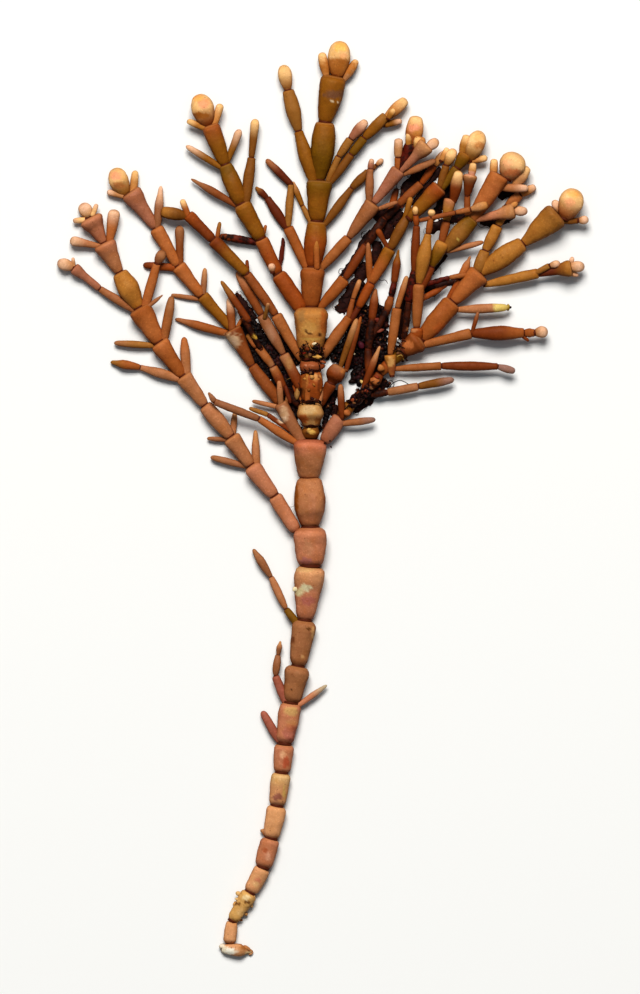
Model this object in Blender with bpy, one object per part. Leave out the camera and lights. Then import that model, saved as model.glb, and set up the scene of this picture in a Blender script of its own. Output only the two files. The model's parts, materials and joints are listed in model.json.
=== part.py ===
"""A dried and pressed frond of coralline algae, lying flat.

The frond is a chain of hard, limy segments with a short bending joint between each and the
next. Side chains leave at the joints, and the young tips are round bulbs. Lengths are in
metres. The frond lies in the XY plane with its holdfast towards -Y, its face up (+Z) and the
floor at Z = 0. The origin is under the middle of the frond.
"""

import math

import bmesh
import bpy
from mathutils import Vector

# driving dimensions
FROND_LENGTH = 0.0457

# The plan of the frond is drawn on squared paper: X runs right and Y runs down, as in a
# drawing, and the frond is PLAN_TALL squares long.
PLAN_TALL = 914.0
SQUARE = FROND_LENGTH / PLAN_TALL
PLAN_CENTRE = Vector((323.0, 498.7))

# Pressing left every segment a little flatter than it is wide.
FLATNESS = 0.8

# Widths in squares from which a chain is made with more sides.
ROUND_WIDTH = 19.5
MIDDLE_WIDTH = 10.8

# Where the rings of a segment lie between its two joints, as parts of its length.
RINGS = (0.0, 0.6, 0.93)
SLIM_RINGS = (0.0, 0.72)

# Side chains lie a hair higher than the chain that they grow from.
SIDE_LIFT = 0.35
MERGE_ANGLE = math.radians(9)
NECK = 0.8
TIP_SHOULDER = 0.86

# Chains of segments, drawn by hand. Each one has a name, its first joint (x, y), its height
# over the floor at its first and last joint, and one row for each segment: the joint (x, y)
# at its upper end, then its width near the lower joint, at the middle and at the upper rim.
# All of them are in squares of the plan.


MAIN_STEM = [
    ("stem", (229.2, 948), (0, 0), [
        (232, 921, 13, 13, 11.5), (250, 892.5, 13, 15, 17), (263, 867.5, 15, 16.5, 17),
        (271, 838.5, 18, 19, 19.5), (277, 806, 17, 19, 20), (281.5, 773, 17, 19, 19.5),
        (284.5, 744, 17, 19, 20), (291, 703, 19, 20.5, 21.5), (298, 666.5, 19, 22, 25),
        (304.5, 620.5, 18, 22, 24.5), (310.5, 566.5, 20, 26, 31), (310, 527.5, 27, 31, 33),
        (309, 477.5, 24, 31.5, 26), (310, 439.5, 22, 29, 35)]),
    ("crust", (222, 948.5), (0, 0), [(253, 951.5, 10, 12.5, 5)]),
    ("stem_spray", (298, 625), (5, 3), [
        (286, 609, 8, 8, 7), (271, 577, 5, 8, 6), (253, 549, 5, 8.5, 5)]),
    ("stem_sprig", (287, 706), (4, 4), [
        (275.5, 676, 6, 9, 8), (278, 655, 5, 8, 6), (280.5, 641, 4, 6, 3)]),
    ("stem_twig", (296, 707), (5, 4), [(327, 685, 5, 6, 4)]),
    ("stem_club", (282, 746), (3, 2), [(262, 711, 5, 9, 8)]),
    ("stem_nub", (269, 838), (3, 3), [(262, 829, 5, 5, 4)]),
]

LEFT_LOW_BRANCH = [
    ("low", (288.5, 518.5), (5, 0), [
        (274.5, 496, 13, 14, 14.5), (251, 465.5, 13, 16, 18), (231, 437, 12, 15, 18),
        (205, 405.5, 12, 16, 15), (183, 376, 11, 14, 17), (159, 342.5, 12, 16, 20),
        (139, 308, 15, 20, 24), (119.5, 272.5, 15, 22, 17), (104, 243, 11, 17, 23),
        (90, 217.5, 10, 17, 24), (81.5, 203.5, 9, 13.5, 11)]),
    ("low_nub_a", (92, 217), (6, 6), [(97, 204, 5, 5, 4.5)]),
    ("low_nub_b", (86, 220), (4, 4), [(73, 221, 6, 6, 5)]),
    ("low_r1", (256, 468), (3, 3), [(255.5, 430, 9, 8, 5)]),
    ("low_l1", (252, 468), (3, 3), [(210.5, 457, 4.5, 7, 6)]),
    ("low_r2", (232, 440), (0, 0), [(235, 412, 6.5, 6.5, 5.5)]),
    ("low_l2", (229, 440), (3, 3), [(207, 438.5, 5, 5, 4)]),
    ("low_r3", (187, 379), (3, 3), [(184, 337, 8, 10, 7)]),
    ("low_l3", (184, 380), (2, 2), [
        (140.5, 367.5, 8, 10, 6), (110.5, 362, 6, 9, 5)]),
    ("low_r4", (163, 345), (3, 8), [(172, 296, 8, 10, 8)]),
    ("low_l4", (158, 346), (3, 3), [(114, 343, 5, 7, 6)]),
    ("low_r5", (144, 311), (4, 10), [
        (157, 264, 9, 10, 8), (164, 250.5, 9, 10.5, 9)]),
    ("low_spine", (147, 308), (12, 12), [(163, 295, 4, 4, 2)]),
    ("low_l5", (137, 312), (3, 3), [
        (100, 289, 6, 9, 7), (74, 268, 7, 8, 12), (57.5, 262, 9, 12, 9)]),
    ("low_l5_nub", (74, 268), (6, 6), [(73, 257.5, 4, 4, 3.5)]),
    ("low_r6", (109, 246), (4, 4), [(114.8, 209.5, 6, 11, 12.5)]),
    ("low_l6", (103, 247), (4, 4), [(70, 240.5, 4, 8, 10)]),
]

LEFT_MID_BRANCH = [
    ("mid", (297, 433), (4, 0), [
        (280, 403, 10, 13, 14.5), (252, 366, 10, 12.5, 11), (232, 329, 9, 14, 19),
        (202, 296, 9, 11, 13), (178, 266, 10, 13, 15.5), (156, 228, 11, 13, 14.5),
        (130, 192, 10, 15, 21)]),
    ("mid_bulb", (126, 196), (0, 0), [(113.5, 168.5, 12, 20, 16)]),
    ("mid_tip_r", (133, 195), (3, 3), [(135.5, 170.5, 8, 8, 7)]),
    ("mid_tip_l", (125, 196), (3, 3), [(107, 192, 7, 7, 6)]),
    ("mid_r1", (281, 406), (8, 13), [(279, 382.5, 6, 6.5, 5)]),
    ("mid_l1", (278, 407), (5, 5), [(252, 401, 5, 5, 4)]),
    ("mid_r3", (232.5, 332), (5, 3), [(229.5, 297.5, 8, 8.5, 7.5)]),
    ("mid_tiny", (234, 333), (6, 6), [(243, 317, 4, 4, 3)]),
    ("mid_l3", (229, 334), (2, 0), [(175, 319, 7, 9, 5)]),
    ("mid_r4", (203, 299), (3, 3), [(205, 268, 6, 6, 5)]),
    ("mid_l4", (199, 299), (1, 0), [(171, 295, 5, 5, 4)]),
    ("mid_r5", (180, 269), (3, 3), [(179.5, 225.5, 7, 8, 9.5)]),
    ("mid_l5", (177, 268), (1, 0), [(143, 265, 8, 8, 7)]),
    ("mid_r6", (157, 231), (3, 3), [(161, 186, 6, 9, 5)]),
    ("fork_spray", (294.5, 436.5), (7, 17), [
        (259, 419, 5, 9, 7), (215, 402, 7, 8, 7), (208.5, 392.5, 6, 5, 3)]),
    ("fork_twig", (291, 431), (7, 9), [
        (268, 415, 5, 5, 5), (249, 408, 5, 5, 4)]),
]

LEFT_INNER_BRANCH = [
    ("inner", (293.5, 346.5), (5, 9), [
        (276, 315, 7, 11, 12), (247, 274, 8, 10, 9), (213, 240, 10, 12, 13), (188, 215, 10, 11, 12)]),
    ("inner_bulb", (189, 217), (9, 7), [(160.5, 211.5, 6, 13, 11)]),
    ("inner_tip", (189, 218), (10, 10), [(182, 199.5, 6.5, 6.5, 6)]),
    ("inner_r3", (216, 244), (9, 9), [(220, 222, 4.5, 4.5, 4)]),
    ("inner_r2", (248, 278), (9, 9), [(247, 260, 4, 4, 3.5)]),
]

LEFT_HIGH_BRANCH = [
    ("high", (293, 296), (3, 6), [
        (278.5, 274, 13, 14, 14.5), (261, 239, 13, 14, 14.5), (242, 204, 14, 17, 19),
        (225, 165, 15, 17.5, 14), (210, 125, 12, 17, 18)]),
    ("high_bulb", (208.5, 127), (6, 4), [(198, 94.5, 12, 22.5, 18)]),
    ("high_tip_r", (213, 128), (8, 8), [(221, 104, 7, 8, 8)]),
    ("high_tip_l", (207, 129), (8, 8), [(187, 121, 7, 7, 6)]),
    ("high_nub", (272.5, 272.5), (10, 11.5), [(271.3, 263, 6, 7.5, 6)]),
    ("high_r5", (225, 168), (7, 7), [(240, 129.5, 4, 7, 8)]),
    ("high_l5", (225, 170), (7, 6), [(186, 146, 5, 7, 6)]),
    ("high_r4", (245, 208), (7, 6), [
        (251.5, 158, 7, 9.5, 7), (255.5, 119, 6, 8, 9)]),
    ("high_l4", (241, 208), (6, 5), [(191, 179, 5, 8, 4)]),
    ("high_r3", (261, 243), (7, 7), [(266, 225, 4, 4, 3.5)]),
    ("high_l3", (260, 243), (3, 3), [(219, 236, 7, 8, 7)]),
]

MAIN_AXIS = [
    ("axis", (310.3, 433.5), (2, 0), [
        (311, 426, 15, 18, 16), (310, 402.5, 20, 27, 24), (311, 372, 20, 23, 22),
        (310.5, 359.5, 21, 23, 21), (311, 307.5, 21, 25, 33.5), (313, 267.5, 18, 22, 24.5),
        (317, 221.5, 17, 22.5, 20), (319.5, 180.5, 17, 22, 25.5), (325, 122.5, 13, 24, 21),
        (334, 76, 17, 24, 25.5)]),
    ("axis_bulb", (337, 79), (2, 0), [(340.5, 41, 11, 22.5, 17.5)]),
    ("axis_tip_l", (327, 79), (4, 4), [(321.5, 52.5, 6, 9.5, 8.5)]),
    ("axis_tip_r", (343, 82), (4, 4), [(357, 60, 5, 9, 7.5)]),
    ("axis_front", (317, 270), (13, 15), [(316, 236, 6, 6.5, 5)]),
    ("axis_sliver", (307.5, 402), (14, 15), [(307, 373.5, 6, 6.5, 5)]),
    ("axis_lump", (316, 400), (9, 10), [(317, 371, 9, 13, 10)]),
    ("axis_peg_r", (318, 407), (8, 10), [(322, 386, 7, 6.5, 4)]),
    ("axis_peg_l", (302, 404), (7, 8), [(298, 381.5, 4, 4, 3)]),
    ("axis_peg_m", (303, 407), (4, 3), [(293.5, 383.5, 5, 5.5, 5)]),
    ("axis_crumb", (318, 369), (12, 12), [(325, 365, 4, 5, 4)]),
    ("c", (305, 396), (3, 0), [
        (283.5, 354.5, 10, 11, 11), (261.5, 315, 7, 12, 11), (237, 271.5, 8, 10, 8)]),
    ("c_nub", (264, 320), (7, 20), [(268.5, 303, 4, 4, 4)]),
    ("e", (300, 406), (2, 0), [
        (284, 389.5, 8, 9, 9), (273, 367, 9, 10, 9), (258, 347, 7, 9, 9), (247.5, 333.5, 9, 9, 8)]),
    ("e_peg", (290, 402), (7, 7), [(285, 385, 4, 4.5, 4)]),
    ("f_low", (261, 349), (5, 11), [(238, 309, 5, 6, 5)]),
    ("f_high", (249, 321), (10, 10), [(221, 281, 7, 7.5, 5)]),
    ("thin", (314, 184), (3, 2), [
        (299, 131.5, 8, 13, 9), (288, 90.5, 9, 15, 12), (283, 65, 9.5, 14.5, 11.5)]),
    ("pair_a", (327, 183), (4, 5), [
        (338.5, 157, 5, 7, 7), (350.5, 139.5, 7, 9, 9), (366.5, 120.5, 8, 11, 8)]),
    ("pair_b", (330, 184), (5, 6), [
        (351, 155, 5, 8.5, 8.5), (364, 138.5, 8, 9, 9), (386, 116, 8, 11.5, 10)]),
    ("pair_b_bulb", (385, 119), (6, 5), [(406.5, 99.5, 7, 12, 10)]),
    ("pair_b_nub", (388, 119), (11, 12), [(394.5, 109, 5, 6.5, 5)]),
    ("pair_b_tip", (384, 125), (5, 4), [(402, 121, 7, 7, 6)]),
    ("arm", (324, 226), (5, 0), [
        (351.5, 188.5, 5, 9.5, 7), (368, 171.5, 7, 9, 7), (376, 165.5, 5, 5.5, 4.5),
        (383, 159, 5, 5.5, 5)]),
    ("arm_left", (313, 226), (4, 1), [
        (302.5, 206, 5, 6, 5), (292.5, 181.5, 5, 6, 4)]),
    ("fern", (309, 272), (3, 2), [
        (288, 227.5, 8, 10.5, 11), (291, 184.5, 6, 8, 6.5), (266, 159.5, 6.5, 8, 6.5)]),
    ("fern_left", (290, 233), (1, 0), [
        (267, 198, 6, 10, 7.5), (255.5, 187, 6, 7, 3.5)]),
    ("knob", (319, 408), (4, 8), [
        (331, 383.5, 6, 10, 12), (340, 366, 12, 20, 16)]),
    ("knob_blade", (339, 371), (11, 15), [(357, 318.5, 4, 7, 6)]),
    ("knob_spike", (346, 371), (10, 15), [(361, 316.5, 5, 6, 4)]),
]

RIGHT_HIGH_BRANCH = [
    ("rose", (330.5, 258.5), (4, 12), [
        (348.5, 238, 7, 11, 10.5), (373.5, 203.5, 8, 14, 17), (399, 170, 8, 12, 15)]),
    ("rose_top", (399, 173), (10, 9), [(412, 144, 9, 12, 14)]),
    ("rose_bulb", (412, 149), (8, 6), [(416.5, 116, 10, 17.8, 14.5)]),
    ("rose_nub_l", (408.5, 150), (14, 15), [(408.5, 133, 6, 6.8, 6)]),
    ("rose_nub_m", (416, 150), (16, 17), [(419, 136, 7, 9, 7.5)]),
    ("rose_fan", (399, 173), (12, 15), [(427, 145, 6, 10, 18)]),
    ("rose_fan_bulb", (426, 150), (16, 15), [(438, 140, 8, 10.5, 8.5)]),
    ("rose_fan_nub", (423, 147), (17, 18), [(421.5, 137, 7, 7, 6)]),
    ("rose_blade", (401, 176), (12, 11), [(436, 160.5, 3, 7.5, 6.5)]),
    ("rose_l2", (369, 206), (10, 11), [
        (370, 169.5, 5, 9, 7), (372, 159, 6, 5.8, 5)]),
    ("rose_l3", (397.5, 173), (12, 12), [
        (398, 158, 6, 7, 7), (398.5, 138.5, 7.5, 9, 8.5)]),
    ("rose_r2", (376, 210), (12, 13), [(398, 202, 3.5, 5, 4)]),
]

RIGHT_INNER_BRANCH = [
    ("dusk", (328, 298.5), (3, 0), [
        (345, 279, 8, 12, 13), (365.5, 245.5, 7, 9.5, 8), (384, 219, 8, 10, 9),
        (398, 205, 8, 9, 8), (421, 184, 8, 9.5, 9), (434, 166, 6, 8, 7.5), (445, 152, 7, 8.5, 7)]),
    ("dusk_tip", (441, 161), (3, 3), [(448, 148, 6, 7, 6)]),
    ("dusk_peg", (390, 213), (2, 2), [(397, 188, 6, 7, 6)]),
    ("dusk_peg_b", (402, 207), (2, 2), [(402.5, 189, 4, 5, 4)]),
]

RIGHT_MID_BRANCH = [
    ("reach", (329, 346.5), (3, 4), [(349, 317.5, 9, 12, 9)]),
    ("reach_main", (349, 324), (4, 6), [
        (358.5, 307.5, 5, 6.5, 6.5), (371, 283.5, 8, 10, 10), (390, 249, 9, 12.5, 13),
        (408, 215, 9, 11.5, 8.5)]),
    ("reach_top", (409, 219), (7.6, 8), [(440, 187, 11, 15, 17.5)]),
    ("reach_l1", (347, 322), (4, 5), [
        (353, 299, 5, 6, 5), (360, 279.5, 5, 5.8, 5)]),
    ("reach_l2", (370, 287), (5, 11), [(368, 242.5, 5, 7, 5)]),
    ("reach_l3", (390.5, 253), (7, 10), [(377, 229, 4, 5, 6.5)]),
    ("reach_up", (403.5, 224), (7, 9.5), [(411, 197, 5.5, 6, 6)]),
    ("reach_s1", (439, 190), (9, 9), [
        (446, 166, 6, 8, 8), (454.5, 149, 8, 11, 9.5)]),
    ("reach_s2", (441, 190), (8, 8), [
        (457, 168.5, 7, 9, 10), (466, 153.5, 10, 13, 14)]),
    ("reach_bulb", (469, 161), (8, 6), [(480.5, 131, 10, 19, 16)]),
    ("reach_bulb_l", (461.5, 156), (9, 9), [(467.5, 135, 7, 10.5, 9)]),
    ("reach_tip_r", (465, 162), (9, 8), [(487.5, 158, 6, 7, 6.5)]),
]

RIGHT_LOW_BRANCH = [
    ("arch", (328.5, 434.5), (3, 6), [
        (340, 417, 13, 16, 15), (351, 404.5, 11, 13, 12), (362, 394, 10, 13, 12),
        (371, 386.5, 10, 12, 12), (380, 374, 11, 12, 10), (389, 364, 9, 11, 12),
        (403, 351.5, 10, 12, 14), (421, 339, 16, 20, 23), (454, 303, 11, 17, 18.5),
        (480, 273, 13, 18, 22.5), (523, 243.5, 12, 20.5, 16), (558, 214, 11, 22, 27)]),
    ("arch_bulb", (564, 219), (8, 7), [(576, 189.3, 13, 25, 20)]),
    ("arch_nub", (561, 213), (8, 8), [(553, 200.5, 8, 9, 7.5)]),
    ("arch_tip", (562, 221), (9, 9), [
        (578, 221, 6, 7, 6), (588.5, 219.5, 7, 8.8, 7)]),
    ("arch_r1", (340, 424), (8, 9), [(375.5, 419.5, 5, 7.5, 6)]),
    ("arch_l1", (342, 419), (10, 13), [(340.5, 384, 5, 7.3, 6)]),
    ("arch_r4", (372, 395), (6, 8), [
        (387, 392.5, 6, 7, 7), (418, 386.5, 8, 8.8, 8), (454, 379.5, 7, 8.6, 7)]),
    ("arch_l4", (363, 389), (8, 14), [(380, 346, 5, 7.5, 4)]),
    ("arch_r6", (394, 369), (7, 9), [
        (441, 366, 5, 8, 8), (497.5, 366.5, 7, 9.5, 7), (515, 371.5, 6, 8, 6.5)]),
    ("v1", (392, 376), (7, 14), [
        (390, 355, 9, 11.5, 6), (397, 308.5, 6, 10, 10), (407, 276, 6, 6.5, 5.5)]),
    ("v2", (417, 342), (8, 22), [
        (416.5, 328, 11, 13, 13), (418.5, 284.5, 8, 11, 12), (428, 234.5, 8, 14.5, 7.5),
        (431, 217.5, 6, 6.8, 6), (431.7, 209.5, 7, 7.8, 6.5)]),
    ("v1b", (404, 340), (8, 22), [
        (408.5, 303, 6, 7, 7), (414, 272, 8, 9, 8), (416.5, 226.5, 6, 9, 7),
        (415.5, 216, 5.5, 6.5, 6), (415, 206.5, 6, 6.3, 5)]),
    ("mire", (371, 388), (4, 3), [
        (368, 350, 8, 9, 8), (372, 320, 8, 9, 8), (375.5, 288.5, 8, 9, 5)]),
    ("mire_b", (370, 340), (3, 4), [
        (387, 311, 7, 8, 8), (391, 297, 8, 9, 7), (394, 283, 6, 7, 6), (398.5, 249.5, 7, 8.3, 3)]),
    ("v2_r2", (420, 286), (13, 14), [
        (449, 278, 4, 5.5, 5), (471, 274, 4.5, 5.5, 4)]),
    ("v2_r1", (418, 301), (8, 7), [(447.5, 285.5, 6, 6.5, 3)]),
    ("w", (420, 290), (12, 10), [
        (431, 267, 8, 10, 9), (443, 242, 9, 13, 14)]),
    ("w_main", (444, 251), (9, 9), [(473, 219, 10, 18, 15)]),
    ("w_top", (471, 221), (9, 10), [(497, 179, 11, 18, 20)]),
    ("w_bulb", (501, 188), (9, 6), [(517, 153, 14, 26, 21)]),
    ("w_bulb_l", (493, 178), (10, 10), [(494, 159, 7, 8.3, 7.5)]),
    ("w_bulb_r", (514, 188), (9, 7), [(527.5, 166.5, 9, 12.5, 10.5)]),
    ("w_tip_r", (499, 188), (12, 12), [(528.5, 188.5, 6, 8.8, 7.5)]),
    ("w_l1", (441, 246), (10, 11), [
        (446, 222, 6, 8.7, 9), (450, 199, 8, 11, 12)]),
    ("w_l1_bulb", (452.5, 204), (13, 18), [(459, 171, 7, 12, 10)]),
    ("w_r1", (446, 252), (10, 11), [(483.5, 242, 4, 6, 5)]),
    ("w_fan", (470, 221), (11, 12), [(514.5, 211, 5, 9, 15.5)]),
    ("w_fan_bulb", (511, 211), (13, 12), [(527.5, 211.5, 7, 9.8, 8.5)]),
    ("w_fan_nub", (509, 208), (16, 17), [(517.5, 203, 5, 6, 5)]),
    ("t", (467, 217), (10, 14), [
        (467, 196, 5, 6.5, 6), (470.5, 174, 7, 11, 14.8)]),
    ("t_tip", (471, 179), (15, 17), [(473.3, 163, 6, 8.3, 7)]),
    ("reed", (419, 221), (22, 22), [
        (455, 213, 4, 5, 5), (470, 210, 5, 6, 6), (488, 204.8, 6, 9.3, 8)]),
    ("sickle", (477, 273), (6, 2), [
        (486, 251, 9, 11, 11), (497.5, 226, 9, 12, 12), (507, 207, 8, 9, 9),
        (520, 195, 9, 10.5, 9.5), (535.5, 186.3, 7, 8.5, 7)]),
    ("spray", (484, 285), (7, 8), [(538, 273.5, 6, 10.3, 10.5)]),
    ("spray_fan", (535, 275), (8, 9), [(571.5, 268, 5, 9, 17)]),
    ("spray_bulb", (567, 267.5), (10, 9), [(584.5, 266.5, 8, 11.5, 9.5)]),
    ("spray_nub", (568, 272), (9, 9), [(578.5, 276, 4, 5.5, 4)]),
    ("spray_lip", (570, 265), (12, 12), [(572.5, 257, 5, 5, 3)]),
    ("spray_up", (534, 274), (12, 13), [
        (549, 266, 5, 6, 6), (560, 263, 6, 7.3, 6)]),
    ("arch_l9", (447, 301), (6, 7), [
        (460, 280, 5, 6.5, 7), (470.5, 256, 8, 8, 3)]),
    ("arch_r9", (454, 310), (8, 9), [(508.5, 307.5, 5, 9.7, 8)]),
    ("arch_r8", (422, 345), (8, 9), [
        (471, 333.5, 8, 9.8, 11), (524, 333, 9, 14.8, 9.5), (534.5, 333, 8, 9.3, 8),
        (547.8, 331.5, 9, 11.8, 9.5)]),
    ("arch_r8_nub", (521, 335), (10, 10), [(528.8, 341.3, 3.5, 3.8, 3)]),
    ("arch_spine", (471, 336), (12, 13), [(478.7, 309.5, 3, 4.5, 3)]),
]


# The limy colours of the pieces, as red, green and blue.
TERRACOTTA = (0.43, 0.19, 0.10)
OLIVE = (0.33, 0.16, 0.05)
RUSSET = (0.36, 0.14, 0.06)
ROSE = (0.39, 0.17, 0.12)
LIME_ROUGHNESS = 0.75

# Each branch: its name, its chains and its colour. The first chain is the one that the others
# grow from, and it begins one fork gap clear of the piece that the whole branch grows from.
BRANCHES = [
    ("main_stem", MAIN_STEM, TERRACOTTA),
    ("left_low_branch", LEFT_LOW_BRANCH, TERRACOTTA),
    ("left_mid_branch", LEFT_MID_BRANCH, RUSSET),
    ("left_inner_branch", LEFT_INNER_BRANCH, TERRACOTTA),
    ("left_high_branch", LEFT_HIGH_BRANCH, OLIVE),
    ("main_axis", MAIN_AXIS, OLIVE),
    ("right_high_branch", RIGHT_HIGH_BRANCH, ROSE),
    ("right_inner_branch", RIGHT_INNER_BRANCH, RUSSET),
    ("right_mid_branch", RIGHT_MID_BRANCH, OLIVE),
    ("right_low_branch", RIGHT_LOW_BRANCH, RUSSET),
]


def clear_scene():
    """Remove what the file holds, so that the model starts empty."""
    for item in list(bpy.data.objects):
        bpy.data.objects.remove(item, do_unlink=True)


def blend(low, high, part):
    """Mix two values."""
    return low + (high - low) * part


def side_count(rows):
    """Wide chains are rounder than slim ones."""
    widest = max(max(row[2:5]) for row in rows)
    if widest >= ROUND_WIDTH:
        return 8
    return 6 if widest >= MIDDLE_WIDTH else 5


def width_at(row, part, is_tip):
    """The width of a segment at a part of its length."""
    low, middle, high = row[2:5]
    if part <= 0.0:
        return low if is_tip else low * NECK
    if part < 0.62:
        return blend(low, middle, min(1.0, part / 0.5))
    if part < 0.9:
        return blend(middle, high, (part - 0.62) / 0.38)
    return high


def chain_stations(start, lift, rows):
    """List (point in squares, direction, width, height over the floor) along a chain."""
    joints = [Vector(start)] + [Vector(row[:2]) for row in rows]
    spans = [(b - a).length for a, b in zip(joints, joints[1:])]
    total = sum(spans)
    rings = RINGS if side_count(rows) > 5 else SLIM_RINGS
    stations = []
    walked = 0.0
    for index, row in enumerate(rows):
        a, b = joints[index], joints[index + 1]
        heading = (b - a).normalized()
        last = index == len(rows) - 1
        for part in rings:
            if last and part > 0.9:
                part = TIP_SHOULDER
            turn = heading
            if part == 0.0 and index > 0:
                turn = (heading + (a - joints[index - 1]).normalized()).normalized()
            reach = (walked + spans[index] * part) / total
            width = width_at(row, part if not last or part < 0.8 else 1.0, last and index == 0)
            stations.append((a.lerp(b, part), turn, width, blend(lift[0], lift[1], reach)))
        walked += spans[index]
    return stations, (joints[-1], lift[1])


def to_world(point, height):
    """Turn a point of the plan and a height, both in squares, into metres."""
    return Vector(((point.x - PLAN_CENTRE.x) * SQUARE, (PLAN_CENTRE.y - point.y) * SQUARE,
                   height * SQUARE))


def ring_points(station, sides):
    """Corners of one flattened ring across a chain, with a flat side underneath."""
    point, heading, width, lift = station
    across = Vector((-heading.y, heading.x))
    first = math.pi / sides if sides % 4 == 0 else (-math.pi / 2 + math.pi / sides)
    if sides == 6:
        first = 0.0
    angles = [first + 2 * math.pi * step / sides for step in range(sides)]
    reach_out = max(math.cos(angle) for angle in angles)
    reach_down = -min(math.sin(angle) for angle in angles)
    half = width / 2
    tall = half * FLATNESS
    corners = []
    for angle in angles:
        offset = across * (half * math.cos(angle) / reach_out)
        corners.append(to_world(point + offset, lift + tall + tall * math.sin(angle) / reach_down))
    return corners


def chain_mesh(name, start, lift, rows):
    """One closed solid for a chain: rings from joint to joint, and a pointed end cap."""
    sides = side_count(rows)
    stations, (tip, tip_lift) = chain_stations(start, lift, rows)
    shape = bmesh.new()
    bmesh.ops.create_circle(shape, cap_ends=True, segments=sides, radius=SQUARE)
    shape.faces.ensure_lookup_table()
    front = shape.faces[0]
    for vertex, corner in zip(front.verts, ring_points(stations[0], sides)):
        vertex.co = corner
    for station in stations[1:]:
        front = bmesh.ops.extrude_discrete_faces(shape, faces=[front])["faces"][0]
        for vertex, corner in zip(front.verts, ring_points(station, sides)):
            vertex.co = corner
    end_width = rows[-1][4]
    cap = bmesh.ops.poke(shape, faces=[front])
    cap["verts"][0].co = to_world(tip, tip_lift + end_width * FLATNESS * 0.45)
    open_edges = [edge for edge in shape.edges if edge.is_boundary]
    bmesh.ops.holes_fill(shape, edges=open_edges, sides=0)
    bmesh.ops.recalc_face_normals(shape, faces=shape.faces)
    mesh = bpy.data.meshes.new(name)
    shape.to_mesh(mesh)
    shape.free()
    return mesh


def add_object(name, mesh):
    """Put a mesh in the scene as an object."""
    item = bpy.data.objects.new(name, mesh)
    bpy.context.scene.collection.objects.link(item)
    return item


def lime_material(name, colour):
    """Dry, chalky lime in one colour."""
    material = bpy.data.materials.new(name)
    material.use_nodes = True
    shader = material.node_tree.nodes["Principled BSDF"]
    shader.inputs["Base Color"].default_value = (*colour, 1.0)
    shader.inputs["Roughness"].default_value = LIME_ROUGHNESS
    shader.inputs["Metallic"].default_value = 0.0
    return material


def fuse(body, piece):
    """Join a side chain to the branch that it grows from."""
    union = body.modifiers.new("grow", "BOOLEAN")
    union.operation = "UNION"
    union.solver = "EXACT"
    union.object = piece
    bpy.context.view_layer.update()
    graph = bpy.context.evaluated_depsgraph_get()
    joined = bpy.data.meshes.new_from_object(body.evaluated_get(graph), depsgraph=graph)
    body.modifiers.remove(union)
    body.data = joined
    bpy.data.objects.remove(piece, do_unlink=True)


def merge_flat_faces(body):
    """Clear the small leftover faces that the fusing leaves on flat sides."""
    shape = bmesh.new()
    shape.from_mesh(body.data)
    bmesh.ops.dissolve_limit(shape, angle_limit=MERGE_ANGLE, verts=shape.verts, edges=shape.edges)
    bmesh.ops.triangulate(shape, faces=shape.faces)
    shape.to_mesh(body.data)
    shape.free()


def build_branch(name, chains, colour):
    """One branch: its leading chain with every side chain fused to it."""
    first_name, first_start, first_lift, first_rows = chains[0]
    body = add_object(name, chain_mesh(name, first_start, first_lift, first_rows))
    for side_name, start, lift, rows in chains[1:]:
        raised = [height + SIDE_LIFT for height in lift]
        fuse(body, add_object(side_name, chain_mesh(side_name, start, raised, rows)))
    merge_flat_faces(body)
    body.data.materials.clear()
    body.data.materials.append(lime_material(name + "_lime", colour))
    body.data.shade_smooth()
    body.data.set_sharp_from_angle(angle=math.radians(50))
    return body


def build_frond():
    """Every branch, held by one empty."""
    clear_scene()
    frond = bpy.data.objects.new("coralline_frond", None)
    bpy.context.scene.collection.objects.link(frond)
    for name, chains, colour in BRANCHES:
        branch = build_branch(name, chains, colour)
        branch.parent = frond


build_frond()
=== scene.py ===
"""The looks of a dried, pressed frond of coralline algae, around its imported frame.

Each branch is one mesh of limy segments in place of its solid. Places, widths and heights in the
tables are in pixels of the photo, with X to the right and Y down: 914 pixels are 45.7 mm. What is
placed in the scene is in metres. The frond lies in the XY plane with its holdfast towards -Y.
"""

import json
import math

import bpy
import numpy as np
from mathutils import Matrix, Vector, noise

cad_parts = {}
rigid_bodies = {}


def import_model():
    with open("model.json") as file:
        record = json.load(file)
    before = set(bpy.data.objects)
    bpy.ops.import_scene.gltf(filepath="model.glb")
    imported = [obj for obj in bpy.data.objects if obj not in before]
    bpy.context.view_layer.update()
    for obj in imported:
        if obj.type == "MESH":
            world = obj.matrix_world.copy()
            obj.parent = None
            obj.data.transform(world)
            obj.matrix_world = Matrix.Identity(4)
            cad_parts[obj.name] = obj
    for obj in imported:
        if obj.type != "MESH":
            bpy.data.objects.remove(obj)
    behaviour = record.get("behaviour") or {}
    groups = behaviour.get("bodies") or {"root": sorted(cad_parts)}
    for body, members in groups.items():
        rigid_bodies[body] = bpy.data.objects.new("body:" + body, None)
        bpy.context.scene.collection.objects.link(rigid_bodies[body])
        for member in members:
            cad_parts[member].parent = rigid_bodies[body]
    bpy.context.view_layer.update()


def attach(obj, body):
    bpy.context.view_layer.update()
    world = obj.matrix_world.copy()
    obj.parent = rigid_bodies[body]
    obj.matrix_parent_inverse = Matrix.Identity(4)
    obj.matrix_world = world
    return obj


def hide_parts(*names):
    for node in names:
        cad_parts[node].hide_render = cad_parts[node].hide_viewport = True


# the frond's length in metres and in pixels, its middle in pixels, and more as in the frame
FROND_LENGTH = 0.0457
PLAN_TALL = 914.0
PIXEL = FROND_LENGTH / PLAN_TALL
PLAN_CENTRE = (323.0, 498.7)
FLATNESS = 0.8
SIDE_LIFT = 0.35

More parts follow.
